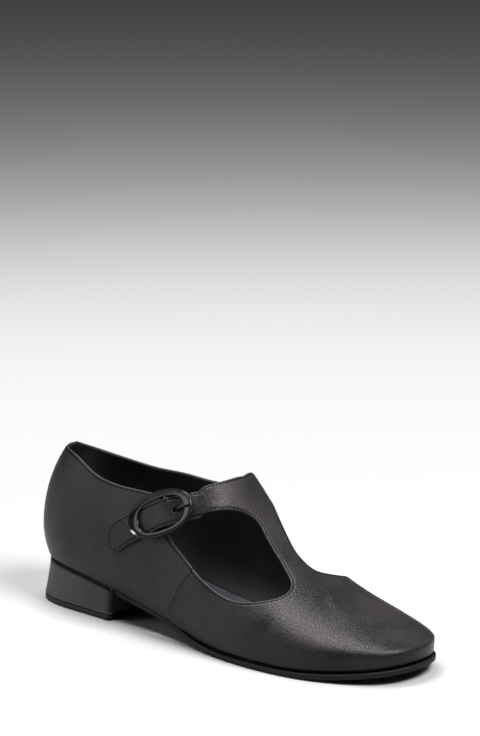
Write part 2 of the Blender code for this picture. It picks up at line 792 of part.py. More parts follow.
def heel_outlines(levels):
    """Outlines of the heel from the seat down: each starts and ends on the breast."""
    outer, inner = [np.linspace(low, high, 601) for low, high in BREAST_SPOKES]
    last = [spoke for spoke in outer if np.subtract(*breast_gap(spoke)) < 0][-1]
    first = [spoke for spoke in inner if np.subtract(*breast_gap(spoke)) < 0][0]
    spokes = np.linspace(first, last + SPOKE_COUNT, 33)
    outlines = []
    for level in levels:
        flare = natural_spline(FLARE)(foot_line(spokes, 0)[:, 0] / SHOE_LENGTH) * HEEL_FLARE
        outline = foot_line(spokes, flare * level**FLARE_POWER)
        outline[[0, -1], 0] = breast_at(outline[[0, -1], 1])
        front = [outline[-1] + (outline[0] - outline[-1]) * share for share in (0.25, 0.5, 0.75)]
        outlines.append(np.concatenate([outline, front]))
    return outlines


def breast_gap(spoke):
    x, y = foot_line(np.array([spoke]), 0)[0]
    return x, breast_at(y)


def loft(name, rings, top, bottom):
    """A closed solid through rings of equal count, with a sheet for its top and one for its bottom."""
    points = [*np.concatenate(rings), *top[0][len(rings[0]) :], *bottom[0][len(rings[-1]) :]]
    count = len(rings[0])
    faces = []
    for level in range(len(rings) - 1):
        for i in range(count):
            k = (i + 1) % count
            above, below = level * count, (level + 1) * count
            faces.append([above + i, below + i, below + k, above + k])
    inner_top = count * len(rings)
    inner_bottom = inner_top + len(top[0]) - count
    last = count * (len(rings) - 1)
    for face in top[1]:
        faces.append([i if i < count else inner_top + i - count for i in face])
    for face in bottom[1]:
        faces.append([last + i if i < count else inner_bottom + i - count for i in reversed(face)])
    bm = bmesh.new()
    verts = [bm.verts.new(point * MM) for point in points]
    for face in faces:
        bm.faces.new([verts[i] for i in face])
    bmesh.ops.triangulate(bm, faces=[face for face in bm.faces if len(face.verts) > 3])
    return make_object(name, bm)


def make_heel():
    levels = [0.0, 0.35, 0.7, 1.0]
    outlines = heel_outlines(levels)
    foot_z = LIFT_THICKNESS + FIT_GAP
    rings = []
    for level, outline in zip(levels, outlines):
        seat_z = feather_height(outlines[0][:, 0]) - FIT_GAP
        rings.append(np.c_[outline, seat_z + (foot_z - seat_z) * level])
    top = sheet(outlines[0], SOLE_STEP, lambda x: feather_height(x) - FIT_GAP)
    bottom = sheet(outlines[-1], SHOE_LENGTH, lambda x: np.full(len(x), foot_z))
    loft("heel_block", rings, top, bottom)

    outline = outlines[-1]
    rings = [np.c_[outline, np.full(len(outline), z)] for z in (LIFT_THICKNESS, 0.0)]
    faces = [sheet(outline, SHOE_LENGTH, lambda x, z=z: np.full(len(x), z)) for z in (LIFT_THICKNESS, 0.0)]
    loft("top_lift", rings, *faces)


def superellipse(turn, half_length, half_height, power):
    cos, sin = np.cos(turn), np.sin(turn)
    out = (np.abs(cos) ** power + np.abs(sin) ** power) ** (-1 / power)
    return np.c_[half_length * out * cos, half_height * out * sin]


def bar_lift():
    return FIT_GAP + BAR_THICKNESS / 2


def frame_lift():
    """Height of the buckle's underside: just over the strap where it passes beneath the rails."""
    return STRAP_LIFT[0][1] * BAR_THICKNESS + BUCKLE_CLEARANCE


def make_wire(name, points, thickness, collection):
    curve = bpy.data.curves.new(name, "CURVE")
    curve.dimensions = "3D"
    curve.bevel_depth = thickness / 2 * MM
    curve.bevel_resolution = 2
    curve.use_fill_caps = True
    spline = curve.splines.new("POLY")
    spline.points.add(len(points) - 1)
    for point, place in zip(spline.points, points):
        point.co = (*(place * MM), 1)
    wire = bpy.data.objects.new(name, curve)
    collection.objects.link(wire)
    return wire


def to_mesh(item):
    """A welded mesh of a curve object, which takes its place."""
    bpy.context.view_layer.update()
    graph = bpy.context.evaluated_depsgraph_get()
    mesh = bpy.data.meshes.new_from_object(item.evaluated_get(graph))
    bm = bmesh.new()
    bm.from_mesh(mesh)
    bmesh.ops.remove_doubles(bm, verts=bm.verts, dist=0.01 * MM)
    bmesh.ops.recalc_face_normals(bm, faces=bm.faces)
    bpy.data.objects.remove(item)
    bpy.data.meshes.remove(mesh)
    return bm


def make_buckle(seat):
    """An oval band with a raised rim, and the bar across its middle under the strap."""
    turn = np.linspace(0, 2 * math.pi, 41)[:-1]
    inner = superellipse(turn, BUCKLE_LENGTH / 2 - RAIL_WIDTH, BUCKLE_HEIGHT / 2 - SIDE_WIDTH, 2.6)
    outer = superellipse(turn, BUCKLE_LENGTH / 2, BUCKLE_HEIGHT / 2, 2.2)
    rings = []
    for across, up in BAND:
        at = inner + (outer - inner) * across
        rings.append(seat.over_bow(at[:, 0], at[:, 1], frame_lift() + up * RIM_HEIGHT))
    bm = bmesh.new()
    verts = [[bm.verts.new(point * MM) for point in ring] for ring in rings]
    for i in range(len(rings)):
        for k in range(len(turn)):
            near, far = verts[i], verts[(i + 1) % len(rings)]
            bm.faces.new([near[k], far[k], far[(k + 1) % len(turn)], near[(k + 1) % len(turn)]])
    bmesh.ops.recalc_face_normals(bm, faces=bm.faces)
    bmesh.ops.triangulate(bm, faces=bm.faces)
    frame = make_object("buckle_frame", bm)

    half = BUCKLE_HEIGHT / 2 - SIDE_WIDTH / 2
    across = np.array([*BAR_ACROSS, 0, *-np.array(BAR_ACROSS[::-1])]) * half
    bar = seat.over_skin(0, across, bar_lift())
    rise = seat.over_bow(np.zeros(2), np.array([-half, half]), frame_lift() + BAR_IN_BAND * RIM_HEIGHT)
    bar[0], bar[-1] = rise
    bar[1] = (bar[0] + bar[2]) / 2 + (bar[1] - bar[2]) * 0.4
    bar[-2] = (bar[-1] + bar[-3]) / 2 + (bar[-2] - bar[-3]) * 0.4
    mesh = bpy.data.meshes.new("buckle_bar")
    bm = to_mesh(make_wire("buckle_bar_path", bar, BAR_THICKNESS, tools))
    bm.to_mesh(mesh)
    bm.free()
    bar_object = bpy.data.objects.new("buckle_bar", mesh)
    tools.objects.link(bar_object)
    bar_object.hide_render = True
    bar_object.display_type = "WIRE"
    join = frame.modifiers.new("bar", "BOOLEAN")
    join.operation = "UNION"
    join.object = bar_object
    return frame


def make_prong(seat):
    rows = np.array(PRONG)
    along = natural_spline(np.c_[np.arange(len(rows)), rows[:, 0]])
    lift = natural_spline(np.c_[np.arange(len(rows)), rows[:, 1]])
    at = np.linspace(0, len(rows) - 1, 19)
    points = seat.over_bow(along(at) * BUCKLE_LENGTH / 2, np.zeros(len(at)), lift(at) * BAR_THICKNESS)
    wire = make_wire("buckle_prong_path", points, PRONG_THICKNESS, tools)
    make_object("buckle_prong", to_mesh(wire))


def stand_at_origin():
    """Moves the whole shoe so that the middle of its floor box is the origin."""
    bpy.context.view_layer.update()
    graph = bpy.context.evaluated_depsgraph_get()
    corners = []
    for item in shoe.objects:
        solid = item.evaluated_get(graph).to_mesh()
        corners += [item.matrix_world @ vert.co for vert in solid.vertices]
        item.evaluated_get(graph).to_mesh_clear()
    low = [min(corner[axis] for corner in corners) for axis in range(3)]
    high = [max(corner[axis] for corner in corners) for axis in range(3)]
    middle = Vector(((low[0] + high[0]) / 2, (low[1] + high[1]) / 2, low[2]))
    for item in [*shoe.objects, *tools.objects]:
        item.location -= middle
    print("origin moved from", [round(value / MM, 3) for value in middle])


def build():
    seat = BuckleSeat()
    make_upper(seat)
    make_insole()
    make_sole()
    make_heel()
    make_buckle(seat)
    make_prong(seat)
    for item in shoe.objects:
        item.data.shade_smooth()
        item.data.set_sharp_from_angle(angle=math.radians(35))
    stand_at_origin()


for old in list(bpy.data.objects):
    bpy.data.objects.remove(old, do_unlink=True)
shoe = bpy.data.collections.new("t_strap_shoe")
tools = bpy.data.collections.new("cutters")
for group in (shoe, tools):
    bpy.context.scene.collection.children.link(group)
build()
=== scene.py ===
import math

import bmesh
import bpy
import numpy as np
from mathutils import Matrix, Vector
from mathutils.geometry import delaunay_2d_cdt
from mathutils.kdtree import KDTree


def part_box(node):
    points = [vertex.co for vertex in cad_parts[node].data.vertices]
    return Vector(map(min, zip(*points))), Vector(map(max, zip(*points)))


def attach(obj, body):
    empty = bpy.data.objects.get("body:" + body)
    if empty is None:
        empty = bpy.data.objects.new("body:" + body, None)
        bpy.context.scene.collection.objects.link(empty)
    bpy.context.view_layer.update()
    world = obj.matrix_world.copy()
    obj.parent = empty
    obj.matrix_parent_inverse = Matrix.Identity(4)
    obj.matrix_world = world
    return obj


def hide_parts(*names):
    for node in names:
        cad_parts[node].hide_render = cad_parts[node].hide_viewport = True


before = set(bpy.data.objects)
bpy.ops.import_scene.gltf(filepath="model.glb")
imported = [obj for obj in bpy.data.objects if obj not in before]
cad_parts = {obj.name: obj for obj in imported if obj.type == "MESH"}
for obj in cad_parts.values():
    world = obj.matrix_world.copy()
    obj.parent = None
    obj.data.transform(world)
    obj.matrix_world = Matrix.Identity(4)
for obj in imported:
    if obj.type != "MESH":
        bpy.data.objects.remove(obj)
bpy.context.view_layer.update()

mm = 0.001

# The foot form, in millimetres, as the solids have it
form = {
    "length": 248.0,
    "ballWidth": 82.0,
    "instepHeight": 88.0,
    "heelHeight": 24.0,
    "toeSpring": 6.0,
    "heelBulge": 5.0,
    "wallRise": 24.0,
    "ballStart": 0.60,
    "springStart": 0.73,
    "gap": 0.3,
    "wallShare": 0.22,
}
spokeRows = [
    # spine, foot, lateral, medial, lateral bulge, medial bulge, rise, squareness
    (0.250, 0.000, 0.000, 0.000, 0.80, 0.80, 0.74, 2.00),
    (0.250, 0.013, 0.155, 0.155, 0.82, 0.82, 0.74, 2.00),
    (0.255, 0.052, 0.265, 0.262, 0.86, 0.86, 0.76, 1.90),
    (0.270, 0.120, 0.325, 0.318, 0.90, 0.90, 0.80, 1.70),
    (0.300, 0.205, 0.345, 0.325, 0.95, 1.10, 0.84, 1.60),
    (0.360, 0.315, 0.355, 0.300, 1.10, 1.40, 0.84, 1.65),
    (0.450, 0.430, 0.385, 0.300, 1.00, 1.40, 0.78, 1.85),
    (0.540, 0.535, 0.450, 0.350, 0.75, 1.00, 0.66, 2.00),
    (0.635, 0.640, 0.500, 0.440, 0.50, 0.60, 0.54, 2.05),
    (0.720, 0.740, 0.503, 0.480, 0.30, 0.30, 0.46, 2.08),
    (0.785, 0.832, 0.458, 0.472, 0.20, 0.20, 0.40, 2.08),
    (0.820, 0.912, 0.355, 0.405, 0.12, 0.12, 0.37, 2.08),
    (0.835, 0.966, 0.235, 0.295, 0.10, 0.10, 0.36, 2.08),
    (0.840, 0.993, 0.095, 0.155, 0.10, 0.10, 0.36, 2.08),
    (0.840, 0.999, -0.035, 0.035, 0.10, 0.10, 0.36, 2.08),
]
crestRows = [
    (-0.10, 1.310), (0.00, 1.300), (0.15, 1.280), (0.30, 1.220), (0.42, 1.118), (0.50, 1.055),
    (0.55, 0.868), (0.60, 0.690), (0.65, 0.585), (0.70, 0.512), (0.77, 0.415), (0.84, 0.345),
    (0.90, 0.300), (0.95, 0.262), (1.00, 0.210), (1.05, 0.120),
]  # height of the crest along the shoe, both as shares
swayRows = [(0.00, 0.000), (0.25, 0.000), (0.45, 0.020), (0.65, 0.045), (0.84, 0.045), (1.00, 0.045)]
spokeCount = 2 * (len(spokeRows) - 1)


def naturalSpline(rows):
    place, value = np.array(rows, float).T
    count = len(place)
    span = np.diff(place)
    system = np.eye(count)
    right = np.zeros(count)
    for i in range(1, count - 1):
        system[i, i - 1 : i + 2] = span[i - 1], 2 * (span[i - 1] + span[i]), span[i]
        right[i] = 6 * ((value[i + 1] - value[i]) / span[i] - (value[i] - value[i - 1]) / span[i - 1])
    bend = np.linalg.solve(system, right)

    def read(at):
        at = np.asarray(at, float)
        i = np.clip(np.searchsorted(place, at) - 1, 0, count - 2)
        before = (place[i + 1] - at) / span[i]
        after = (at - place[i]) / span[i]
        cubic = (before**3 - before) * bend[i] + (after**3 - after) * bend[i + 1]
        return before * value[i] + after * value[i + 1] + cubic * span[i] ** 2 / 6

    return read


def ringSpline(rows):  # a closed curve, for every column at once
    values = np.array(rows, float)
    count = len(values)
    system = 4 * np.eye(count) + np.roll(np.eye(count), 1, 1) + np.roll(np.eye(count), -1, 1)
    bend = np.linalg.solve(system, 6 * (np.roll(values, -1, 0) - 2 * values + np.roll(values, 1, 0)))

    def read(at):
        at = np.asarray(at, float) % count
        i = np.floor(at).astype(int) % count
        k = (i + 1) % count
        after = (at - np.floor(at))[..., None]
        before = 1 - after
        cubic = (before**3 - before) * bend[i] + (after**3 - after) * bend[k]
        return before * values[i] + after * values[k] + cubic / 6

    return read


def smooth(share):
    share = np.clip(share, 0, 1)
    return share * share * (3 - 2 * share)


def unit(vector):
    return vector / np.linalg.norm(vector, axis=-1, keepdims=True)


def walkedAlong(points):  # the way from the first point to each
    return np.r_[0, np.cumsum(np.linalg.norm(np.diff(points, axis=0), axis=1))]


def inwardFrom(outline):  # steps of 1 mm into a closed outline, square to it
    tangent = unit(np.roll(outline, -1, 0) - np.roll(outline, 1, 0))
    return np.c_[-tangent[:, 1], tangent[:, 0]]


def treeOf(points):
    tree = KDTree(len(points))
    for i, point in enumerate(points):
        tree.insert(Vector(point), i)
    tree.balance()
    return tree


def addObject(name, data):
    item = bpy.data.objects.new(name, data)
    bpy.context.scene.collection.objects.link(item)
    return item


def cleanMesh(item):  # no loose points, and faces that look outwards
    bm = bmesh.new()
    bm.from_mesh(item.data)
    loose = [vert for vert in bm.verts if not vert.link_faces]
    bmesh.ops.delete(bm, geom=loose, context="VERTS")
    bmesh.ops.recalc_face_normals(bm, faces=bm.faces)
    bm.to_mesh(item.data)
    bm.free()


def featherHeight(x):  # the edge where upper and sole meet
    share = np.asarray(x, float) / form["length"]
    ball = sole["thickness"] + form["gap"]
    shank = smooth(np.clip((form["ballStart"] - share) / form["ballStart"], 0, 1) ** 0.85)
    spring = np.clip((share - form["springStart"]) / (1 - form["springStart"]), 0, None) ** 2
    return ball + (form["heelHeight"] - ball) * shank + form["toeSpring"] * spring


def spokeTable():
    rows = []
    for spine, foot, lateral, medial, lateralBulge, medialBulge, rise, squareness in spokeRows:
        rows.append((spine, foot, -lateral, lateralBulge, rise, squareness))
    for spine, foot, lateral, medial, lateralBulge, medialBulge, rise, squareness in spokeRows[-2:0:-1]:
        rows.append((spine, foot, medial, medialBulge, rise, squareness))
    return rows


crestShare = naturalSpline(crestRows)
swayShare = naturalSpline(swayRows)
readSpokes = ringSpline(spokeTable())


def spokePlan(spoke):
    row = readSpokes(spoke)
    start = np.stack([row[:, 0] * form["length"], swayShare(row[:, 0]) * form["ballWidth"]], -1)
    foot = np.stack([row[:, 1] * form["length"], row[:, 2] * form["ballWidth"]], -1)
    reach = np.linalg.norm(foot - start, axis=1)
    return start, (foot - start) / reach[:, None], reach, foot, row[:, 3:]


def sections(spoke):  # from the crest down to the feather edge
    start, heading, reach, foot, rest = spokePlan(spoke)
    bulge, rise, squareness = rest.T
    widest = reach + bulge * form["heelBulge"]
    footZ = featherHeight(foot[:, 0])
    widestZ = footZ + rise * form["wallRise"]
    wall = form["wallShare"]
    share = np.r_[np.linspace(0, wall, 14)[:-1], np.linspace(wall, 1, 60)][::-1]
    low = np.clip(1 - share / wall, 0, 1)
    high = np.clip((share - wall) / (1 - wall), 0, 1) * math.pi / 2
    side = widest[:, None] - (widest - reach)[:, None] * low**2
    dome = widest[:, None] * np.clip(np.cos(high), 0, 1) ** (2 / squareness)[:, None]
    out = np.where(share < wall, side, dome)
    x = start[:, :1] + heading[:, :1] * out
    y = start[:, 1:] + heading[:, 1:] * out
    crest = crestShare(x / form["length"]) * form["instepHeight"]
    sideZ = widestZ[:, None] - (widestZ - footZ)[:, None] * low
    domeZ = widestZ[:, None] + (crest - widestZ[:, None]) * np.sin(high)
    return np.stack([x, y, np.where(share < wall, sideZ, domeZ)], -1)


def girths(spoke):
    points = sections(spoke)
    steps = np.linalg.norm(np.diff(points, axis=1), axis=2)
    return points, np.concatenate([np.zeros((len(points), 1)), np.cumsum(steps, 1)], 1)


def skin(spoke, down):
    spoke, down = np.broadcast_arrays(np.atleast_1d(spoke), np.atleast_1d(down))
    points, walked = girths(spoke.ravel())
    target = np.clip(down.ravel(), 0, 1) * walked[:, -1]
    i = np.clip((walked < target[:, None]).sum(1) - 1, 0, walked.shape[1] - 2)
    k = np.arange(len(points))
    share = ((target - walked[k, i]) / (walked[k, i + 1] - walked[k, i]))[:, None]
    return points[k, i] * (1 - share) + points[k, i + 1] * share


def skinNormal(spoke, down):
    ahead = skin(spoke + 0.03, down) - skin(spoke - 0.03, down)
    below = skin(spoke, np.minimum(down + 0.008, 1)) - skin(spoke, down - 0.008)
    return unit(np.cross(below, ahead))


def flatPlace(spoke, down):
    start, heading, *rest = spokePlan(spoke)
    return start + heading * (down * girths(spoke)[1][:, -1])[:, None]


def runAlong(rows, step, closed=False):
    rows = np.array(rows, float)
    if closed:
        rows = np.concatenate([rows[-3:], rows, rows[:4]])
    walked = walkedAlong(skin(*rows.T))
    spoke = naturalSpline(np.c_[walked, rows[:, 0]])
    down = naturalSpline(np.c_[walked, rows[:, 1]])
    first, last = (walked[3], walked[-4]) if closed else (walked[0], walked[-1])
    at = np.linspace(first, last, max(2, round((last - first) / step) + 1))
    if closed:
        at = at[:-1]
    return np.c_[spoke(at), np.clip(down(at), 0, 1)]


def evenRing(place, step):
    fine = np.linspace(0, spokeCount, 40 * spokeCount + 1)
    walked = walkedAlong(place(fine))
    count = max(3, round(walked[-1] / step))
    return np.interp(np.arange(count) / count * walked[-1], walked, fine)


def encloses(loop, point):
    x, y = loop.T
    xNext, yNext = np.roll(loop, -1, 0).T
    crosses = (y > point[1]) != (yNext > point[1])
    at = x + (point[1] - y) * (xNext - x) / np.where(yNext == y, 1, yNext - y)
    return (crosses & (point[0] < at)).sum() % 2 == 1


def divide(loops, flat):  # triangles between closed edges, the first points of flat
    edges, outlines = [], []
    count = 0
    for loop in loops:
        edges += [(count + i, count + (i + 1) % len(loop)) for i in range(len(loop))]
        outlines.append(np.asarray(flat[count : count + len(loop)]))
        count += len(loop)
    corners = [Vector(at) for at in flat]
    points, splitEdges, faces, origins, *rest = delaunay_2d_cdt(corners, edges, [], 2, 1e-6)
    kept = []
    for face in faces:
        middle = np.mean([points[i] for i in face], axis=0)
        if sum(encloses(loop, middle) for loop in outlines) % 2 == 1:
            kept.append([origins[i][0] for i in face])
    return kept


# Where things lie on the skin: spoke number, and share of the way down from the crest to the feather edge
upper = {
    "wall": 1.8,
    "step": 2.5,  # spacing of the mesh
    "edgeStep": 1.7,
    "edgeRows": [0.12, 0.35, 0.70, 1.05, 1.35, 1.65, 2.1, 3.0],  # rows of points beside each cut edge
    "rimDrop": 0.55,  # how far the folded edge rounds over
    "rimWidth": 0.95,
    "stitchInset": 1.35,
    "stitchGroove": 0.26,
    "grooveWidth": 0.30,
    "threadLift": 0.05,  # how far the thread's middle stands over the groove
    "swell": (0.10, 2.3, 0.8),  # a soft ridge past the stitches: height, place and half width
    "featherRound": (0.9, 0.5),  # width and drop at the feather edge
    "creaseStart": 2.0,
    "creaseEase": 8.0,
    "seamStep": 0.7,
    "seamTaper": 15.0,
    "seamRows": [-1.2, -0.45, -0.12, 0.1, 0.35, 0.8, 1.5, 2.3, 3.2],
    "seamStitch": 1.7,
    "collarLateral": [
        (0.00, 0.470), (1.30, 0.455), (2.60, 0.430), (3.75, 0.440), (4.70, 0.410), (5.30, 0.370),
        (5.75, 0.355),
    ],
    "buckleEar": [(5.75, 0.355), (5.98, 0.385), (6.02, 0.430), (5.95, 0.475), (5.87, 0.500)],
    "cutOutLateral": [
        (5.87, 0.500), (6.00, 0.535), (6.25, 0.572), (6.57, 0.600), (6.90, 0.617), (7.45, 0.622),
        (8.00, 0.610), (8.30, 0.580), (8.55, 0.530), (8.75, 0.470), (8.87, 0.400), (8.89, 0.340),
        (8.80, 0.270), (8.55, 0.210), (8.20, 0.150), (7.85, 0.105), (7.60, 0.078), (7.43, 0.073),
        (7.29, 0.102),
    ],
    "strapUnder": [(7.17, 0.148), (7.08, 0.192), (6.975, 0.243), (6.86, 0.288), (6.76, 0.326), (6.66, 0.361)],
    "strapTop": [
        (6.31, 0.265), (6.46, 0.232), (6.58, 0.195), (6.67, 0.153), (6.735, 0.105), (6.77, 0.050),
        (6.785, 0.000),
    ],
    "collarMedial": [
        (21.215, 0.000), (21.26, 0.070), (21.35, 0.140), (21.53, 0.215), (21.90, 0.295), (22.55, 0.370),
        (23.35, 0.432), (24.10, 0.490), (25.15, 0.522), (26.00, 0.528), (26.80, 0.515), (28.00, 0.470),
    ],
    "cutOutMedial": [
        (20.85, 0.215), (21.08, 0.285), (21.28, 0.335), (21.50, 0.375), (21.66, 0.415), (21.66, 0.455),
        (21.50, 0.495), (21.25, 0.540), (20.95, 0.580), (20.50, 0.605), (20.00, 0.592), (19.60, 0.545),
        (19.30, 0.480), (19.12, 0.400), (19.00, 0.310), (18.95, 0.210), (18.98, 0.110), (19.10, 0.030),
        (19.40, 0.010), (19.80, 0.040), (20.20, 0.105), (20.52, 0.155),
    ],
    "seam": [(6.80, 0.640), (6.60, 0.710), (6.40, 0.800), (6.20, 0.890), (6.00, 1.000)],
    "seamTops": [(0.630, -1), (0.575, 1)],  # where it starts under the cut-outs, and on which side
}
strap = {
    "width": 15.0,
    "reach": 22.0,  # where it leaves the skin, ahead of the buckle's middle
    "tail": 42.0,
    "droop": 3.7,  # how far the tail curves down from a straight line
    "seat": (5.80, 0.443),
    "tip": (4.57, 0.688),
    "step": 1.3,
    "lift": [
        (-22.0, 1.02), (-9.0, 1.02), (-6.6, 1.03), (-4.9, 1.36), (-3.0, 1.86), (-1.4, 2.20), (0.0, 2.30),
        (1.4, 2.24), (3.0, 1.98), (4.7, 1.38), (6.2, 1.05), (7.8, 0.82), (9.3, 0.45), (10.3, 0.12),
        (11.0, 0.00),
    ],  # along and up, in bar thicknesses
    "end": [
        (-0.72, 0.50), (-0.84, 0.46), (-0.93, 0.34), (-0.98, 0.16), (-1.00, -0.06), (-1.00, -0.26),
        (-0.97, -0.42), (-0.90, -0.50),
    ],  # shares of tail and width
    "hole": (0.500, 0.150, 0.085),  # its middle, half length and half width, in half buckle lengths
    "holeRows": (0.3, 0.7, 1.2),
    "holeClear": 1.8,
    "edgeClear": 3.6,
    "holeStretch": 1.4,
    "holeEdge": 1.05,
    "holeDrop": (0.35, 0.7),  # depth of the dent round the hole, and its half width
}
buckle = {
    "length": 43.0,
    "height": 24.0,
    "clearance": 1.05,
    "rail": 5.6,
    "side": 3.0,
    "rim": 2.5,
    "bar": 2.0,
    "prong": 1.4,
    "band": [
        (0.00, 0.04), (0.02, 0.01), (0.06, 0.00), (0.94, 0.00), (0.98, 0.03), (1.03, 0.20), (1.06, 0.45),
        (1.065, 0.72), (1.05, 0.90), (1.02, 0.98), (0.98, 1.00), (0.94, 0.98), (0.905, 0.93), (0.87, 0.85),
        (0.80, 0.72), (0.70, 0.59), (0.58, 0.49), (0.45, 0.42), (0.30, 0.38), (0.15, 0.36), (0.06, 0.35),
        (0.02, 0.32), (0.00, 0.26),
    ],  # across the band and up
    "prongRoute": [
        (0.105, 0.53), (0.230, 0.53), (0.350, 0.56), (0.430, 0.95), (0.520, 1.55), (0.610, 2.06),
        (0.710, 2.36), (0.870, 2.52),
    ],  # along the buckle and up
    "innerPower": 2.6,  # how square the oval is inside and outside
    "outerPower": 2.2,
    "barEnd": (0.86, 0.13),  # where the bar begins to bend into the band, and over what share
    "barEndRise": 0.2,
    "prongTip": (0.46, 0.042),  # where the prong begins to round off, and over what share
}
sole = {
    "thickness": 3.0,
    "edge": 1.3,
    "edgeFrom": 0.38,  # where the edge starts to stand out, and over what share of the length
    "edgeOver": 0.16,
    "breastGap": 0.5,
    "round": 0.7,
    "outlineStep": 1.5,
    "step": 2.0,
}
insole = {
    "thickness": 4.0,
    "clearance": 1.1,
    "dip": 0.5,  # how much lower the edge's inner side lies
    "dipFrom": 1.0,
    "dipOver": 12.0,
    "underGap": 0.6,
    "round": 0.8,
    "step": 2.5,
}
heel = {
    "lift": 3.0,
    "flare": 2.8,
    "depth": 66.0,
    "skew": 0.17,
    "flareRows": [
        (-0.05, 1.20), (0.00, 1.20), (0.05, 0.90), (0.11, 0.40), (0.19, 0.15), (0.27, 0.65), (0.35, 0.65),
    ],
    "flarePower": 1.3,
    "topEdge": [(0.6, 0.0), (0.18, -0.16), (0.0, -0.6)],  # inset and rise of the rounded edges
    "footEdge": [(0.5, 0.0), (0.15, 0.12), (0.0, 0.45)],
    "liftRows": [(3.0, 0.35), (2.9, 0.1), (2.65, 0.0), (0.35, 0.0), (0.1, 0.1), (0.0, 0.35)],
    "outlineStep": 1.2,
}


panelTop = upper["seamTops"][1][0] - 0.03  # above this the front panel has no edge


def fold(places):  # past the crest a place goes on down the other side
    spoke, down = np.asarray(places, float).T
    over = down < 0
    return np.c_[np.where(over, spokeCount - spoke, spoke), np.clip(np.abs(down), 0, 1)]


def skinAt(places):
    return skin(*fold(places).T)


def walkOnSkin(places, offset):  # a small step over the skin, given as a vector
    for part in range(2):
        here = skinAt(places)
        bySpoke = (skinAt(places + [0.01, 0]) - here) / 0.01
        byDown = (skinAt(places + [0, 0.003]) - here) / 0.003
        basis = np.stack([bySpoke, byDown], -1)
        change = np.array([np.linalg.lstsq(one, step / 2, rcond=None)[0] for one, step in zip(basis, offset)])
        places = places + change
    return places


def besideEdge(loop, inset, closed=True):  # the edge moved to its left, or right where inset is negative
    points = skinAt(loop)
    if closed:
        tangent = unit(np.roll(points, -1, 0) - np.roll(points, 1, 0))
    else:
        tangent = unit(np.gradient(points, axis=0))
    normal = skinNormal(*fold(loop).T)
    side = unit(np.cross(normal, tangent))
    return walkOnSkin(loop, side * inset)


class BuckleSeat:  # a flat frame on the quarter at the buckle's middle

    def __init__(self):
        spoke, down = np.array(strap["seat"])[:, None]
        self.middle = skin(spoke, down)[0]
        self.up = skinNormal(spoke, down)[0]
        way = self.middle - skin(*np.array(strap["tip"])[:, None])[0]
        self.along = unit(way - self.up * way.dot(self.up))
        self.across = np.cross(self.up, self.along)
        self.bow = self.skinLift(np.array([-0.5, 0.5]) * buckle["length"], np.zeros(2)).mean()

    def onSkin(self, along, across):
        along, across = np.broadcast_arrays(np.asarray(along, float), np.asarray(across, float))
        want = np.stack([along.ravel(), across.ravel()], -1)
        guess = np.repeat([strap["seat"]], len(want), 0)

        def place(at):
            offset = skin(*at.T) - self.middle
            return np.stack([offset @ self.along, offset @ self.across], -1)

        for i in range(12):
            here = place(guess)
            bySpoke = (place(guess + [0.02, 0]) - here) / 0.02
            byDown = (place(guess + [0, 0.004]) - here) / 0.004
            change = np.linalg.solve(np.stack([bySpoke, byDown], -1), (want - here)[..., None])[..., 0]
            guess = guess + np.clip(change, [-0.4, -0.12], [0.4, 0.12])
        return guess

    def skinLift(self, along, across):
        return (skin(*self.onSkin(along, across).T) - self.middle) @ self.up

    def point(self, along, across, lift):
        along, across, lift = np.broadcast_arrays(*[np.asarray(v, float) for v in (along, across, lift)])
        offset = self.along * along.ravel()[:, None] + self.across * across.ravel()[:, None]
        return self.middle + offset + self.up * lift.ravel()[:, None]

    def overSkin(self, along, across, lift):
        return self.point(along, across, self.skinLift(along, across) + np.asarray(lift).ravel())

    def overBow(self, along, across, lift):
        return self.point(along, across, self.bow * (2 * along / buckle["length"]) ** 2 + lift)


seat = BuckleSeat()


def strapLift(along):
    return np.clip(naturalSpline(strap["lift"])(along / buckle["bar"]), 0, None) * buckle["bar"]


def seamSpoke(down):
    table = np.array(upper["seam"])
    return np.interp(down, table[:, 1], table[:, 0])


seamScale = form["length"] / spokeCount * 3


def aheadOfSeam(spoke, down):
    spoke = np.where(spoke > spokeCount / 2, spokeCount - spoke, spoke)
    return (spoke - seamSpoke(down)) * seamScale


def seamRise(spoke, down):  # the front panel lies over the quarter on both sides
    ahead = aheadOfSeam(spoke, down)
    step = smooth((ahead + 0.15) / 0.35) * (1 - smooth(ahead / upper["seamTaper"]))
    return np.where(down > panelTop, upper["seamStep"] * step, 0.0)


def footLine(spoke, offset):  # plan of the feather edge, moved outwards
    foot = spokePlan(spoke)[3]
    ahead = spokePlan(spoke + 0.02)[3] - spokePlan(spoke - 0.02)[3]
    outward = unit(np.c_[ahead[:, 1], -ahead[:, 0]])
    return foot + outward * np.broadcast_to(offset, len(foot))[:, None]


def footRing(step):
    return evenRing(lambda spoke: np.c_[footLine(spoke, 0), np.zeros(len(spoke))], step)


def breastAt(y):
    return heel["depth"] + heel["skew"] * y


def heelSpokes(count):  # spokes round the heel from breast to breast, and the flare at each
    def gapAt(spoke):
        x, y = footLine(np.array([spoke]), 0)[0]
        return x - breastAt(y)

    outer = [spoke for spoke in np.linspace(3, 6, 601) if gapAt(spoke) < 0][-1]
    inner = [spoke for spoke in np.linspace(22, 25, 601) if gapAt(spoke) < 0][0]
    spokes = np.linspace(inner, outer + spokeCount, count)
    flare = naturalSpline(heel["flareRows"])(footLine(spokes, 0)[:, 0] / form["length"]) * heel["flare"]
    return spokes, flare


def liftOutline(count):
    spokes, flare = heelSpokes(count)
    outline = footLine(spokes, flare)
    outline[[0, -1], 0] = breastAt(outline[[0, -1], 1])
    return outline


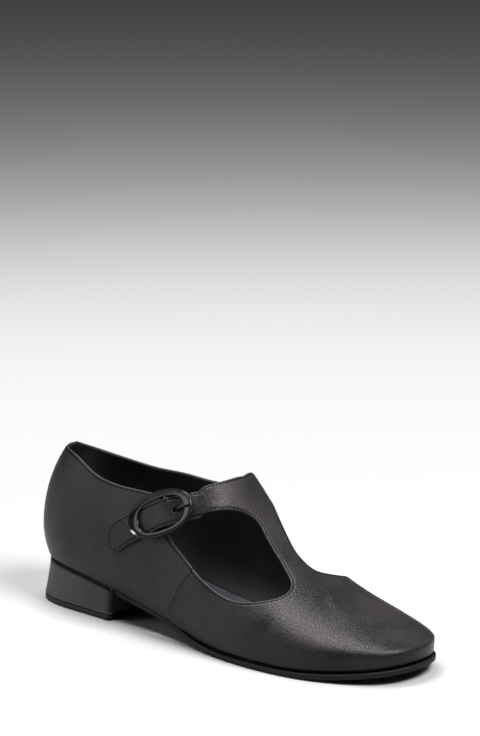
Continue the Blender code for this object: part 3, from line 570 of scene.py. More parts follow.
def frameShift():  # from here to the frame, read off the lift's box
    outline = liftOutline(33)
    lowest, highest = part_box("top_lift")
    x = (lowest[0] + highest[0]) / 2 - (outline[:, 0].min() + outline[:, 0].max()) / 2 * mm
    y = (lowest[1] + highest[1]) / 2 - (outline[:, 1].min() + outline[:, 1].max()) / 2 * mm
    return np.array([x, y, 0])


shift = frameShift()
print("shift to the frame", np.round(shift / mm, 3))


def placed(points):
    return np.asarray(points) * mm + shift


def makeMesh(name, points, faces, slots, faceSlots=None):
    mesh = bpy.data.meshes.new(name)
    mesh.from_pydata([tuple(p) for p in placed(points)], [], [tuple(int(i) for i in face) for face in faces])
    for material in slots:
        mesh.materials.append(material)
    if faceSlots is not None:
        mesh.polygons.foreach_set("material_index", np.asarray(faceSlots, np.int32))
    mesh.polygons.foreach_set("use_smooth", np.ones(len(mesh.polygons), bool))
    mesh.update()
    return addObject(name, mesh)


def setAttribute(item, name, values):
    layer = item.data.attributes.new(name, "FLOAT", "POINT")
    layer.data.foreach_set("value", np.asarray(values, np.float32))


nearCells = [(i, j, k) for i in (-1, 0, 1) for j in (-1, 0, 1) for k in (-1, 0, 1)]


def thinOut(taken, rows, gap):  # the points of the rows that keep a distance from those before them
    cells = {}
    for point in taken:
        cells.setdefault(tuple((point // gap).astype(int)), []).append(point)
    kept = []
    points = skinAt(rows)
    for at, point in zip(rows, points):
        x, y, z = (point // gap).astype(int)
        near = [q for i, j, k in nearCells for q in cells.get((x + i, y + j, z + k), ())]
        if all(((q - point) ** 2).sum() > gap * gap for q in near):
            cells.setdefault((x, y, z), []).append(point)
            kept.append(at)
    return np.array(kept)


def strapAcross():  # places across the strap, the same on the skin and past it
    half = strap["width"] / 2
    rows = [half - inset for inset in [0, *upper["edgeRows"]]]
    middle = np.linspace(-rows[-1], rows[-1], 7)[1:-1]
    return np.array(sorted([-r for r in rows] + list(middle) + rows))


def pastStrapEnd(rows):
    along = (skin(*np.array(rows).T) - seat.middle) @ seat.along
    return [row for row, at in zip(rows, along) if at > strap["reach"] + 2]


def upperEdges():
    feather = evenRing(lambda spoke: skin(spoke, 1.0), upper["step"])
    end = seat.onSkin(strap["reach"], strapAcross())
    toStrap = [*upper["cutOutLateral"], *pastStrapEnd(upper["strapUnder"]), tuple(end[0])]
    fromStrap = [tuple(end[-1]), *pastStrapEnd(upper["strapTop"])]
    step = upper["edgeStep"]
    runs = [runAlong(rows, step) for rows in (upper["collarLateral"], upper["buckleEar"], toStrap)]
    runs += [end, runAlong(fromStrap, step), runAlong(upper["collarMedial"], step)]
    stops = np.cumsum([len(run) - 1 for run in runs])
    opening = np.concatenate([run[:-1] for run in runs])
    cutOut = runAlong(upper["cutOutMedial"], step, closed=True)
    return np.c_[feather, np.ones(len(feather))], opening, cutOut, stops


def upperPlaces():  # outline loops and all the places inside them
    feather, opening, cutOut, stops = upperEdges()
    beside = []
    for inset in upper["edgeRows"]:
        row = besideEdge(opening, -inset)
        along = (skinAt(row) - seat.middle) @ seat.along
        lateral = fold(row)[:, 0] < 8
        beside.append(row[~(lateral & (along < strap["reach"] + 0.8) & (along > -40) & nearStrap(row))])
        beside.append(besideEdge(cutOut, inset))
        beside.append(besideEdge(feather, inset))
    seams = []
    for top, side in upper["seamTops"]:
        for ahead in upper["seamRows"]:
            down = np.arange(top + 0.012, 0.97, 0.017)
            spoke = seamSpoke(down) + ahead / seamScale
            seams.append(np.c_[spoke if side < 0 else spokeCount - spoke, down])
    rows = [np.c_[np.linspace(6.9, 13.8, 60), np.zeros(60)]]
    step = upper["step"]
    for level in range(1, 60):
        def at(spoke):
            return np.c_[spoke % spokeCount, 1 - level * step * 0.9 / girths(spoke)[1][:, -1]]

        spokes = evenRing(lambda spoke: skin(*at(spoke).T), step)
        row = at(spokes + 0.5 * (level % 2) * spokeCount / len(spokes))
        rows.append(row[row[:, 1] > 0.012])
    edges = np.concatenate([feather, opening, cutOut])
    flat = flatPlace(*edges.T)
    loops = np.split(flat, np.cumsum([len(feather), len(opening)]))
    special = thinOut([], fold(np.concatenate(beside)), 0.1)
    keepOut = list(skinAt(np.concatenate([edges, special])))
    seamPlaces = thinOut(keepOut, np.concatenate(seams), 0.11)
    taken = keepOut + list(skinAt(seamPlaces))
    free = thinOut(taken, np.concatenate(rows), step * 0.62)
    return (feather, opening, cutOut), stops, loops, np.concatenate([edges, special, seamPlaces, free])


def nearStrap(row):  # beside the strap's end, where the loose part takes over
    offset = skinAt(row) - seat.middle
    return (np.abs(offset @ seat.across) < strap["width"] / 2 + 1.5) & (offset @ seat.up > -12)


def rimRound(distance, width, drop):
    near = np.clip(1 - distance / width, 0, 1)
    return drop * (1 - np.sqrt(np.clip(1 - near**2, 0, 1)))


def tailPlaces():  # the strap past its end on the skin, in the seat's frame
    across = strapAcross()
    half = strap["width"] / 2
    step = strap["step"]
    side = np.arange(strap["reach"] - step, strap["end"][0][0] * strap["tail"], -step)
    tip = np.array(strap["end"]) * [strap["tail"], strap["width"]]
    walked = walkedAlong(tip)
    fine = np.linspace(0, walked[-1], round(walked[-1] / step) + 1)
    tip = np.stack([naturalSpline(np.c_[walked, values])(fine) for values in tip.T], -1)
    near = side[::-1]
    near = near[near > tip[-1, 0] + step / 2]
    outline = np.concatenate([
        np.c_[np.full(len(across), strap["reach"]), across],
        np.c_[side, np.full(len(side), half)],
        tip,
        np.c_[near, np.full(len(near), -half)],
    ])
    along, halfLength, halfWidth = np.array(strap["hole"]) * buckle["length"] / 2
    turn = np.linspace(0, 2 * math.pi, 25)[:-1]

    def roundHole(gap):
        return np.c_[along + (halfLength + gap) * np.cos(turn), (halfWidth + gap) * np.sin(turn)]

    inward = inwardFrom(outline)
    inside = []
    for inset in upper["edgeRows"]:
        row = (outline + inward * inset)[len(across):]
        inside.append(row[row[:, 0] < strap["reach"] - 0.6])
    inside += [roundHole(gap) for gap in strap["holeRows"]]
    rows = len(upper["edgeRows"]) + 1
    middle = across[rows:-rows]
    grid = np.array([(x, y) for x in np.arange(strap["reach"] - step, -strap["tail"], -step) for y in middle])
    clear = strap["holeClear"]
    free = np.hypot((grid[:, 0] - along) / (halfLength + clear), grid[:, 1] / (halfWidth + clear)) > 1
    for i, at in enumerate(grid):
        gap = np.linalg.norm(outline - at, axis=1).min()
        free[i] &= encloses(outline, at) and gap > strap["edgeClear"]
    inside.append(grid[free])
    return outline, roundHole(0), np.concatenate(inside), len(across)


def tailPoints(at):
    droop = strap["droop"] * (np.minimum(at[:, 0], 0) / strap["tail"]) ** 2
    return seat.overSkin(at[:, 0], at[:, 1] - droop, strapLift(at[:, 0]))


def tailNormals(at):
    ahead = tailPoints(at + [0.15, 0]) - tailPoints(at - [0.15, 0])
    over = tailPoints(at + [0, 0.15]) - tailPoints(at - [0, 0.15])
    return unit(np.cross(ahead, over))


def distanceTo(loop, points):
    tree = treeOf(loop)
    loopNext = np.roll(loop, -1, 0)
    result = []
    for point in points:
        near, i, gap = tree.find(Vector(point))
        best = gap
        for a, b in ((loop[i], loopNext[i]), (loop[i - 1], loop[i])):
            way = b - a
            share = np.clip((point - a) @ way / max(way @ way, 1e-9), 0, 1)
            best = min(best, np.linalg.norm(point - a - way * share))
        result.append(best)
    return np.array(result)


creases = [
    # from (spoke, down) to (spoke, down), half width and height in millimetres
    ((9.55, 0.10), (9.95, 0.30), 2.6, -0.35),
    ((9.75, 0.08), (10.20, 0.26), 2.2, 0.25),
    ((10.05, 0.07), (10.45, 0.22), 2.4, -0.22),
    ((8.95, 0.62), (8.60, 0.86), 6.0, -0.30),
    ((9.35, 0.55), (9.10, 0.84), 7.0, 0.25),
    ((7.60, 0.72), (7.30, 0.92), 6.5, -0.30),
    ((2.10, 0.55), (1.70, 0.90), 8.0, 0.30),
    ((3.60, 0.52), (3.75, 0.88), 9.0, -0.35),
    ((4.90, 0.55), (4.70, 0.90), 7.0, 0.25),
    ((19.00, 0.62), (18.60, 0.85), 6.5, -0.25),
    ((22.60, 0.62), (22.90, 0.90), 8.0, 0.25),
    ((24.60, 0.62), (24.60, 0.90), 9.0, -0.30),
]


creaseSteps = 8
creaseFade = 0.7  # how much lower a crease is at its ends


def creaseHeight(points):
    height = np.zeros(len(points))
    for start, end, width, tall in creases:
        share = np.linspace(0, 1, creaseSteps + 1)[:, None]
        route = skinAt(np.array(start) * (1 - share) + np.array(end) * share)
        gap = np.linalg.norm(points[:, None] - route[None], axis=2)
        i = gap.argmin(1)
        fade = 1 - (np.abs(i / creaseSteps - 0.5) * 2) ** 4 * creaseFade
        height += tall * fade * np.exp(-(gap.min(1) / width) ** 2)
    return height


farAway = 99.0
noPanel = 50.0
noMark = 9.0  # where no edge is near


def orderedEdges(faces):  # each side of each triangle once, in the order of the faces
    return dict.fromkeys((face[i], face[(i + 1) % 3]) for face in faces for i in range(3))


def makeUpper(slots):
    edges, stops, flatLoops, places = upperPlaces()
    faces = divide(flatLoops, flatPlace(*places.T))
    base = skin(*places.T)
    normal = skinNormal(*places.T)
    loops = [skinAt(loop) for loop in edges]
    feather = distanceTo(loops[0], base)
    rim = np.minimum(distanceTo(loops[1], base), distanceTo(loops[2], base))
    toSide = strap["width"] / 2 - np.abs((base - seat.middle) @ seat.across)
    rim = np.where(atStrapEnd(base), toSide, rim)

    # the tail's first points are those of the strap's end on the skin
    tailOutline, hole, inside, shared = tailPlaces()
    tailAt = np.concatenate([tailOutline, hole, inside])
    flatTail = np.c_[tailAt, np.zeros(len(tailAt))]
    tailRim = edgeDistance(np.r_[flatTail[shared - 1 : len(tailOutline)], flatTail[:1]], flatTail)
    holeWay = np.hypot((tailAt[:, 0] - hole[:, 0].mean()) / strap["holeStretch"], tailAt[:, 1])
    holeRim = np.clip(holeWay - strap["holeEdge"], 0, None)[shared:]
    count, own = len(places), len(tailAt) - shared
    remap = [*(len(edges[0]) + stops[2] + np.arange(shared)), *(count + np.arange(own))]
    faces = faces + [[remap[i] for i in face] for face in divide([tailOutline, hole], tailAt)]
    base = np.r_[base, tailPoints(tailAt)[shared:]]
    normal = np.r_[normal, tailNormals(tailAt)[shared:]]
    rim = np.r_[rim, tailRim[shared:]]
    feather = np.r_[feather, np.full(own, farAway)]
    rise = np.r_[seamRise(*places.T), np.zeros(own)]
    dent, dentWidth = strap["holeDrop"]
    holeDrop = np.r_[np.zeros(count), dent * np.exp(-(holeRim / dentWidth) ** 2)]

    fall = rimRound(rim, upper["rimWidth"], upper["rimDrop"]) + rimRound(feather, *upper["featherRound"])
    fall += holeDrop
    groove = upper["stitchGroove"] * np.exp(-((rim - upper["stitchInset"]) / upper["grooveWidth"]) ** 2)
    ridge, ridgeAt, ridgeWidth = upper["swell"]
    swell = ridge * np.exp(-((rim - ridgeAt) / ridgeWidth) ** 2)
    ease = upper["creaseEase"]
    crease = creaseHeight(base) * smooth((rim - upper["creaseStart"]) / ease) * smooth(feather / ease)
    crease[count:] = 0
    outer = base + normal * (rise + crease - fall - groove + swell)[:, None]
    inner = base - normal * (upper["wall"] - fall * 0.9 - crease)[:, None]

    total = len(base)
    borders = orderedEdges(faces)
    sides = [[b, a, total + a, total + b] for a, b in borders if (b, a) not in borders]
    allFaces = list(faces) + [[total + i for i in reversed(face)] for face in faces] + sides
    slotOf = [0] * len(faces) + [1] * len(faces) + [0] * len(sides)
    onPanel = places[:, 1] > panelTop
    panel = np.r_[np.where(onPanel, aheadOfSeam(*places.T), noPanel), np.full(own, noPanel)]
    shell = makeMesh("fine_upper", np.r_[outer, inner], allFaces, slots, slotOf)
    setAttribute(shell, "rim", np.r_[rim, np.full(total, noMark)])
    setAttribute(shell, "feather", np.r_[feather, feather])
    setAttribute(shell, "panel", np.r_[panel, panel])
    setAttribute(shell, "hole", np.r_[np.full(count, noMark), holeRim, np.full(total, noMark)])
    cleanMesh(shell)
    return shell


def edgeDistance(line, points):  # shortest way to an open line
    best = np.full(len(points), 1e9)
    for a, b in zip(line[:-1], line[1:]):
        way = b - a
        share = np.clip((points - a) @ way / max(way @ way, 1e-9), 0, 1)
        best = np.minimum(best, np.linalg.norm(points - a - share[:, None] * way, axis=1))
    return best


def atStrapEnd(points):  # where the strap leaves the skin
    offset = points - seat.middle
    along, across, up = offset @ seat.along, offset @ seat.across, offset @ seat.up
    return (np.abs(along - strap["reach"]) < 4) & (np.abs(across) < strap["width"] / 2 + 0.1) & (up > -12)


def softPlate(name, outline, step, top, thickness, edgeRound, slots):  # a sheet with a rounded edge
    inward = inwardFrom(outline)
    insets = edgeRound * (1 - np.cos(np.linspace(0, math.pi / 2, 5)))
    rings = [outline + inward * inset for inset in [*insets, edgeRound + step * 0.5]]
    low, high = outline.min(0), outline.max(0)
    columns = enumerate(np.arange(low[0], high[0], step * 0.9))
    rows = np.arange(low[1], high[1], step)
    shifted = [(x, y + (i % 2) * step / 2) for i, x in columns for y in rows]
    tree = treeOf(np.c_[outline, np.zeros(len(outline))])
    margin = edgeRound + step
    grid = np.array([at for at in shifted if tree.find((*at, 0))[2] > margin and encloses(outline, at)])
    flat = np.concatenate([*rings, grid])
    faces = divide([outline], flat)
    gap = edgeDistance(np.r_[outline, outline[:1]], flat)
    share = np.clip(1 - gap / edgeRound, 0, 1)
    fall = edgeRound * (1 - np.sqrt(1 - share**2))
    above = np.c_[flat, top(flat) - fall]
    below = np.c_[flat, top(flat) - thickness + fall]
    total, count = len(flat), len(outline)
    allFaces = list(faces) + [[total + i for i in reversed(face)] for face in faces]
    allFaces += [[(i + 1) % count, i, total + i, total + (i + 1) % count] for i in range(count)]
    plate = makeMesh(name, np.r_[above, below], allFaces, slots)
    setAttribute(plate, "rim", np.r_[gap, gap])
    return plate


def aheadOf(outline, line):
    kept = []
    side = outline[:, 0] - line(outline[:, 1])
    for i, here in enumerate(outline):
        k = (i + 1) % len(outline)
        if side[i] > 0:
            kept.append(here)
        if (side[i] > 0) != (side[k] > 0):
            kept.append(here + (outline[k] - here) * side[i] / (side[i] - side[k]))
    return np.array(kept)


def resample(outline, count):  # a closed outline at even steps
    closed = np.r_[outline, outline[:1]]
    walked = walkedAlong(closed)
    at = np.arange(count) / count * walked[-1]
    return np.c_[np.interp(at, walked, closed[:, 0]), np.interp(at, walked, closed[:, 1])]


def evenOutline(outline, step, rounding=0):  # the same by its step, with the corners eased
    even = resample(outline, round(walkedAlong(np.r_[outline, outline[:1]])[-1] / step))
    for i in range(rounding):
        even = even * 0.5 + (np.roll(even, 1, 0) + np.roll(even, -1, 0)) * 0.25
    return even


def soleEdge(x):
    out = smooth((x / form["length"] - sole["edgeFrom"]) / sole["edgeOver"])
    return sole["edge"] * out - (upper["wall"] + form["gap"]) * (1 - out)


def makeSole(slots):
    ring = footRing(sole["outlineStep"])
    outline = footLine(ring, soleEdge(footLine(ring, 0)[:, 0]))
    front = aheadOf(outline, lambda y: breastAt(y) + form["gap"] + sole["breastGap"])
    front = evenOutline(front, sole["outlineStep"])
    return softPlate(
        "fine_outsole", front, sole["step"], lambda at: featherHeight(at[:, 0]) - form["gap"],
        sole["thickness"], sole["round"], slots,
    )


def makeInsole(slots):
    outline = footLine(footRing(sole["outlineStep"]), -(upper["wall"] + insole["clearance"]))

    def top(at):
        gap = edgeDistance(np.r_[outline, outline[:1]], at)
        dip = insole["dip"] * smooth((gap - insole["dipFrom"]) / insole["dipOver"])
        return featherHeight(at[:, 0]) + insole["thickness"] - dip

    thickness = insole["thickness"] - insole["underGap"]
    return softPlate("fine_insole", outline, insole["step"], top, thickness, insole["round"], slots)


def heelOutline(level):
    spokes, flare = heelSpokes(120)
    outline = footLine(spokes, flare * level ** heel["flarePower"])
    outline[[0, -1], 0] = breastAt(outline[[0, -1], 1])
    return evenOutline(outline, heel["outlineStep"], 2)


def fanFaces(count, start, middle, flip):
    faces = [[start + i, start + (i + 1) % count, middle] for i in range(count)]
    return [list(reversed(face)) for face in faces] if flip else faces


def loftSolid(name, rings, slots):
    count = len(rings[0])
    points = [*np.concatenate(rings), rings[0].mean(0), rings[-1].mean(0)]
    faces = []
    for level in range(len(rings) - 1):
        a, b = level * count, (level + 1) * count
        faces += [[a + i, b + i, b + (i + 1) % count, a + (i + 1) % count] for i in range(count)]
    faces += fanFaces(count, 0, len(points) - 2, False)
    faces += fanFaces(count, (len(rings) - 1) * count, len(points) - 1, True)
    return makeMesh(name, np.array(points), faces, slots)


def shrunk(outline, inset):
    return outline + inwardFrom(outline) * inset


def makeHeel(slots):
    count = len(heelOutline(0.0))
    footZ = heel["lift"] + form["gap"]
    rings = []
    for level in [0, 0, 0, *np.linspace(0.03, 0.97, 12), 1, 1, 1]:
        outline = resample(heelOutline(level), count)
        seatZ = featherHeight(outline[:, 0]) - form["gap"]
        rings.append(np.c_[outline, seatZ + (footZ - seatZ) * level])
    edges = [*zip(rings, heel["topEdge"]), *zip(reversed(rings), heel["footEdge"])]
    for ring, (inset, rise) in edges:
        ring[:, :2] = shrunk(ring[:, :2], inset)
        ring[:, 2] += rise
    cap = [fillRing(rings[0], share) for share in (0.25, 0.5, 0.75)]
    block = loftSolid("fine_heel_block", cap + rings, slots)
    outline = heelOutline(1.0)
    rings = [
        np.c_[shrunk(outline, inset), np.full(len(outline), z * heel["lift"] / 3)]
        for z, inset in heel["liftRows"]
    ]
    return block, loftSolid("fine_top_lift", rings, slots[1:])


def fillRing(ring, share):  # a smaller ring on the seat, which follows the sole's slope
    middle = ring[:, :2].mean(0)
    at = middle + (ring[:, :2] - middle) * share
    return np.c_[at, featherHeight(at[:, 0]) - form["gap"]]


def superellipse(turn, halfLength, halfHeight, power):
    cos, sin = np.cos(turn), np.sin(turn)
    out = (np.abs(cos) ** power + np.abs(sin) ** power) ** (-1 / power)
    return np.c_[halfLength * out * cos, halfHeight * out * sin]


def between(a, b, count):  # faces from the ring of points that starts at a to the one at b
    return [[a + k, a + (k + 1) % count, b + (k + 1) % count, b + k] for k in range(count)]


def tube(route, radii, sides=20, flatten=1.0):
    tangent = unit(np.gradient(route, axis=0))
    side = unit(np.cross(tangent, seat.up))
    over = np.cross(side, tangent)
    rings = []
    for at, s, o, radius in zip(route, side, over, radii):
        turn = np.arange(sides) / sides * 2 * math.pi
        rings.append(at + np.outer(np.cos(turn), s) * radius + np.outer(np.sin(turn), o) * radius * flatten)
    points = np.concatenate([*rings, route[:1], route[-1:]])
    faces = []
    for i in range(len(route) - 1):
        faces += between(i * sides, (i + 1) * sides, sides)
    last = (len(route) - 1) * sides
    faces += [[(k + 1) % sides, k, len(points) - 2] for k in range(sides)]
    faces += [[last + k, last + (k + 1) % sides, len(points) - 1] for k in range(sides)]
    return points, faces


def makeBuckle(slots):
    turn = np.linspace(0, 2 * math.pi, 161)[:-1]
    halfLength, halfHeight = buckle["length"] / 2, buckle["height"] / 2
    innerRing = superellipse(
        turn, halfLength - buckle["rail"], halfHeight - buckle["side"], buckle["innerPower"]
    )
    outerRing = superellipse(turn, halfLength, halfHeight, buckle["outerPower"])
    under = strap["lift"][0][1] * buckle["bar"] + buckle["clearance"]
    rings = []
    for across, up in buckle["band"]:
        at = innerRing + (outerRing - innerRing) * across
        rings.append(seat.overBow(at[:, 0], at[:, 1], under + up * buckle["rim"]))
    count, total = len(turn), len(rings)
    faces = []
    for i in range(total):
        faces += between(i * count, (i + 1) % total * count, count)
    points = np.concatenate(rings)

    half = halfHeight - buckle["side"] / 2
    across = np.linspace(-1, 1, 41) * half
    bar = seat.overSkin(0, across, form["gap"] + buckle["bar"] / 2)
    ends = seat.overBow(np.zeros(2), np.array([-half, half]), under + buckle["barEndRise"] * buckle["rim"])
    endFrom, endOver = buckle["barEnd"]
    share = smooth((np.abs(across) / half - endFrom) / endOver)[:, None]
    bar = bar * (1 - share) + np.where(across[:, None] < 0, ends[0], ends[1]) * share
    barPoints, barFaces = tube(bar, np.full(len(bar), buckle["bar"] / 2))
    faces += [[i + len(points) for i in face] for face in barFaces]
    frameMesh = makeMesh("fine_buckle_frame", np.r_[points, barPoints], faces, slots)

    rows = np.array(buckle["prongRoute"])
    steps = np.arange(len(rows))
    at = np.linspace(0, len(rows) - 1, 40)
    along = naturalSpline(np.c_[steps, rows[:, 0]])(at) * halfLength
    lift = naturalSpline(np.c_[steps, rows[:, 1]])(at) * buckle["bar"]
    route = seat.overBow(along, np.zeros(len(at)), lift)
    tipFrom, tipOver = buckle["prongTip"]
    pastTip = np.maximum(np.abs(np.linspace(0, 1, len(at)) - 0.5) - tipFrom, 0) / tipOver
    radii = buckle["prong"] / 2 * np.sqrt(np.clip(1 - pastTip**2, 0.02, 1))
    prong = makeMesh("fine_buckle_prong", *tube(route, radii), slots)
    cleanMesh(frameMesh)
    cleanMesh(prong)
    return frameMesh, prong


def nodeGroup(name, inputs, outputs):
    group = bpy.data.node_groups.new(name, "ShaderNodeTree")
    for label, value in inputs:
        group.interface.new_socket(label, in_out="INPUT", socket_type="NodeSocketFloat").default_value = value
    for label in outputs:
        group.interface.new_socket(label, in_out="OUTPUT", socket_type="NodeSocketFloat")
    return group, group.nodes.new("NodeGroupInput"), group.nodes.new("NodeGroupOutput")


class Wiring:  # short ways to add nodes to one tree

    def __init__(self, tree):
        self.tree = tree

    def feed(self, socket, value):
        if isinstance(value, bpy.types.NodeSocket):
            self.tree.links.new(value, socket)
        else:
            socket.default_value = value

    def add(self, kind, inputs, output=0, **settings):
        node = self.tree.nodes.new(kind)
        for key, value in settings.items():
            setattr(node, key, value)
        for key, value in inputs.items():
            self.feed(node.inputs[key], value)
        return node.outputs[output]

    def math(self, operation, a, b=0.0):
        return self.add("ShaderNodeMath", {0: a, 1: b}, operation=operation)

    def spread(self, value, low, high, lowTo=0.0, highTo=1.0):
        inputs = {"Value": value, "From Min": low, "From Max": high, "To Min": lowTo, "To Max": highTo}
        return self.add("ShaderNodeMapRange", inputs, interpolation_type="SMOOTHSTEP")

    def place(self):
        return self.add("ShaderNodeTexCoord", {}, output="Object")

    def noise(self, scale, detail=3.0, roughness=0.55, vector=None):
        inputs = {"Vector": vector or self.place(), "Scale": scale, "Detail": detail, "Roughness": roughness}
        return self.add("ShaderNodeTexNoise", inputs, output="Fac")

    def cells(self, scale, output="Distance", vector=None, feature="F1"):
        inputs = {"Vector": vector or self.place(), "Scale": scale}
        return self.add("ShaderNodeTexVoronoi", inputs, output=output, feature=feature)

    def read(self, name):
        return self.add("ShaderNodeAttribute", {}, output="Fac", attribute_name=name)

    def mix(self, share, a, b):
        node = self.tree.nodes.new("ShaderNodeMix")
        node.data_type = "RGBA"
        self.feed(node.inputs[0], share)
        self.feed(node.inputs[6], (*a, 1) if isinstance(a, tuple) else a)
        self.feed(node.inputs[7], (*b, 1) if isinstance(b, tuple) else b)
        return node.outputs[2]

    def group(self, group, inputs):
        node = self.tree.nodes.new("ShaderNodeGroup")
        node.node_tree = group
        for key, value in inputs.items():
            self.feed(node.inputs[key], value)
        return node.outputs


def makeGrainGroup():  # pebbled leather: height of the grain, and a slow drift of tone
    inputs = [("Pebble", 1250.0), ("Pores", 3000.0)]
    group, entry, leave = nodeGroup("leather_grain", inputs, ["Height", "Drift", "Sparkle"])
    w = Wiring(group)
    noiseInputs = {"Vector": w.place(), "Scale": 420.0, "Detail": 2.0}
    shiftNoise = w.add("ShaderNodeTexNoise", noiseInputs, output="Color")
    small = w.add("ShaderNodeVectorMath", {0: shiftNoise, "Scale": 0.0011}, operation="SCALE")
    place = w.add("ShaderNodeVectorMath", {0: w.place(), 1: small}, operation="ADD")
    pebble = w.cells(entry.outputs["Pebble"], vector=place)
    pores = w.noise(entry.outputs["Pores"], detail=4.0, roughness=0.6)
    broad = w.noise(60.0, detail=2.0)
    height = w.math("ADD", w.math("MULTIPLY", pebble, -0.75), w.math("MULTIPLY", pores, 0.8))
    w.feed(leave.inputs["Height"], w.math("ADD", height, w.math("MULTIPLY", broad, 1.2)))
    w.feed(leave.inputs["Drift"], w.spread(w.noise(38.0, detail=4.0), 0.36, 0.66))
    w.feed(leave.inputs["Sparkle"], w.spread(w.noise(1500.0, detail=2.0, roughness=0.7), 0.52, 0.74))
    return group


def makeEdgeGroup():  # masks beside the cut edges and the panel's edge: painted highlights on the rims and the panel's lip, painted shade in the stitch groove, at the seam and along the feather edge
    inputs = [(label, noMark) for label in ("Rim", "Feather", "Panel")]
    group, entry, leave = nodeGroup("edge_light_and_shade", inputs, ["Cut", "Thread", "Shade", "LipHighlight"])
    w = Wiring(group)
    rim, feather, panel = [entry.outputs[label] for label, value in inputs]
    # painted highlight: a lighter, uneven line along the rounded rim of each cut edge
    uneven = w.math("ADD", w.math("MULTIPLY", w.noise(500.0), 0.5), 0.6)
    w.feed(leave.inputs["Cut"], w.math("MULTIPLY", w.spread(rim, 0.12, 0.62, 1.0, 0.0), uneven))
    # painted shade in the stitch groove, together with the dark thread's own colour
    off = w.math("ABSOLUTE", w.math("SUBTRACT", rim, upper["stitchInset"]))
    w.feed(leave.inputs["Thread"], w.spread(off, 0.18, 0.62, 1.0, 0.0))
    # painted shadow: darker just behind the seam, where the front panel overlaps the quarter
    seam = w.spread(w.math("ABSOLUTE", w.math("ADD", panel, 0.20)), 0.30, 0.80, 1.0, 0.0)
    # painted shade: darker along the feather edge, where the upper meets the sole
    foot = w.spread(feather, 0.2, 2.2, 1.0, 0.0)
    w.feed(leave.inputs["Shade"], w.math("MAXIMUM", seam, foot))
    # painted highlight: a light line along the front panel's raised edge, just ahead of the seam
    lip = w.math("ABSOLUTE", w.math("SUBTRACT", panel, 0.42))
    w.feed(leave.inputs["LipHighlight"], w.spread(lip, 0.08, 0.45, 1.0, 0.0))
    return group


def newMaterial(name, roughness, coat=0.0, coatRoughness=0.1, level=0.5):
    material = bpy.data.materials.new(name)
    material.use_nodes = True
    shader = material.node_tree.nodes["Principled BSDF"]
    shader.inputs["Roughness"].default_value = roughness
    shader.inputs["Coat Weight"].default_value = coat
    shader.inputs["Coat Roughness"].default_value = coatRoughness
    shader.inputs["Specular IOR Level"].default_value = level
    return material, shader, Wiring(material.node_tree)


def bumped(w, shader, height, distance, strength=1.0):
    inputs = {"Height": height, "Distance": distance, "Strength": strength}
    w.feed(shader.inputs["Normal"], w.add("ShaderNodeBump", inputs, output="Normal"))


grainGroup = makeGrainGroup()
edgeGroup = makeEdgeGroup()
looks = {
    "leatherDark": (0.0062, 0.0058, 0.0062),
    "leatherLight": (0.0175, 0.0150, 0.0165),
    # painted highlight colour, laid along the rims and along the front panel's lip
    "edgeHighlight": (0.042, 0.039, 0.041),
    # near-black thread colour, also used for painted shade in the stitch groove, at the seam, along the
    # feather edge and round the strap's hole
    "thread": (0.0035, 0.0033, 0.0036),
    "threadDark": (0.0015, 0.0014, 0.0015),
    "leatherTint": (1.0, 0.92, 0.98, 1.0),
    "lining": (0.0100, 0.0102, 0.0120),
    "footbed": (0.0260, 0.0265, 0.0330),
    "heelCover": (0.0205, 0.0185, 0.0160),
    "rubber": (0.0045, 0.0043, 0.0043),
    "enamel": (0.0040, 0.0044, 0.0055),
}


def leatherMaterial():
    material, shader, w = newMaterial("black_leather", 0.42, 0.0, 0.3, 0.20)
    shader.inputs["Specular Tint"].default_value = looks["leatherTint"]
    grain = w.group(grainGroup, {})
    marks = w.group(edgeGroup, {"Rim": w.read("rim"), "Feather": w.read("feather"), "Panel": w.read("panel")})
    tone = w.mix(w.math("MULTIPLY", grain["Drift"], 0.75), looks["leatherDark"], looks["leatherLight"])
    # painted shade in the stitch groove, partly the dark thread's own colour
    tone = w.mix(w.math("MULTIPLY", marks["Thread"], 0.45), tone, looks["thread"])
    # painted shadow at the seam and painted shade along the feather edge, in the near-black thread colour
    tone = w.mix(w.math("MULTIPLY", marks["Shade"], 0.85), tone, looks["thread"])
    # painted shade: darker round the strap's hole and the dent about it
    tone = w.mix(w.spread(w.read("hole"), 0.0, 0.9, 0.9, 0.0), tone, looks["thread"])
    # painted highlights on the rims and on the front panel's raised lip
    light = w.math("MAXIMUM", marks["Cut"], w.math("MULTIPLY", marks["LipHighlight"], 0.45))
    w.feed(shader.inputs["Base Color"], w.mix(w.math("MULTIPLY", light, 0.8), tone, looks["edgeHighlight"]))
    rough = w.math("ADD", w.math("MULTIPLY", grain["Drift"], 0.10), 0.30)
    w.feed(shader.inputs["Roughness"], w.math("SUBTRACT", rough, w.math("MULTIPLY", grain["Sparkle"], 0.10)))
    # the painted shade in the stitch groove, at the seam and at the feather edge also turns the reflection
    # down there
    dull = w.math("MAXIMUM", w.math("MULTIPLY", marks["Thread"], 0.45), marks["Shade"])
    w.feed(shader.inputs["Specular IOR Level"], w.spread(dull, 0.0, 1.0, 0.21, 0.02))
    bumped(w, shader, grain["Height"], 0.00020, 0.80)
    return material


def softMaterial(name, colour, roughness, scale, depth, drift=0.35, coat=0.0, coatRoughness=0.1, level=0.5):
    material, shader, w = newMaterial(name, roughness, coat, coatRoughness, level)
    darker, lighter = [tuple(v * share for v in colour) for share in (1 - drift, 1 + drift)]
    tone = w.mix(w.spread(w.noise(45.0, detail=3.0), 0.3, 0.7), darker, lighter)
    w.feed(shader.inputs["Base Color"], tone)
    bumped(w, shader, w.noise(scale, detail=4.0), depth, 0.6)
    return material


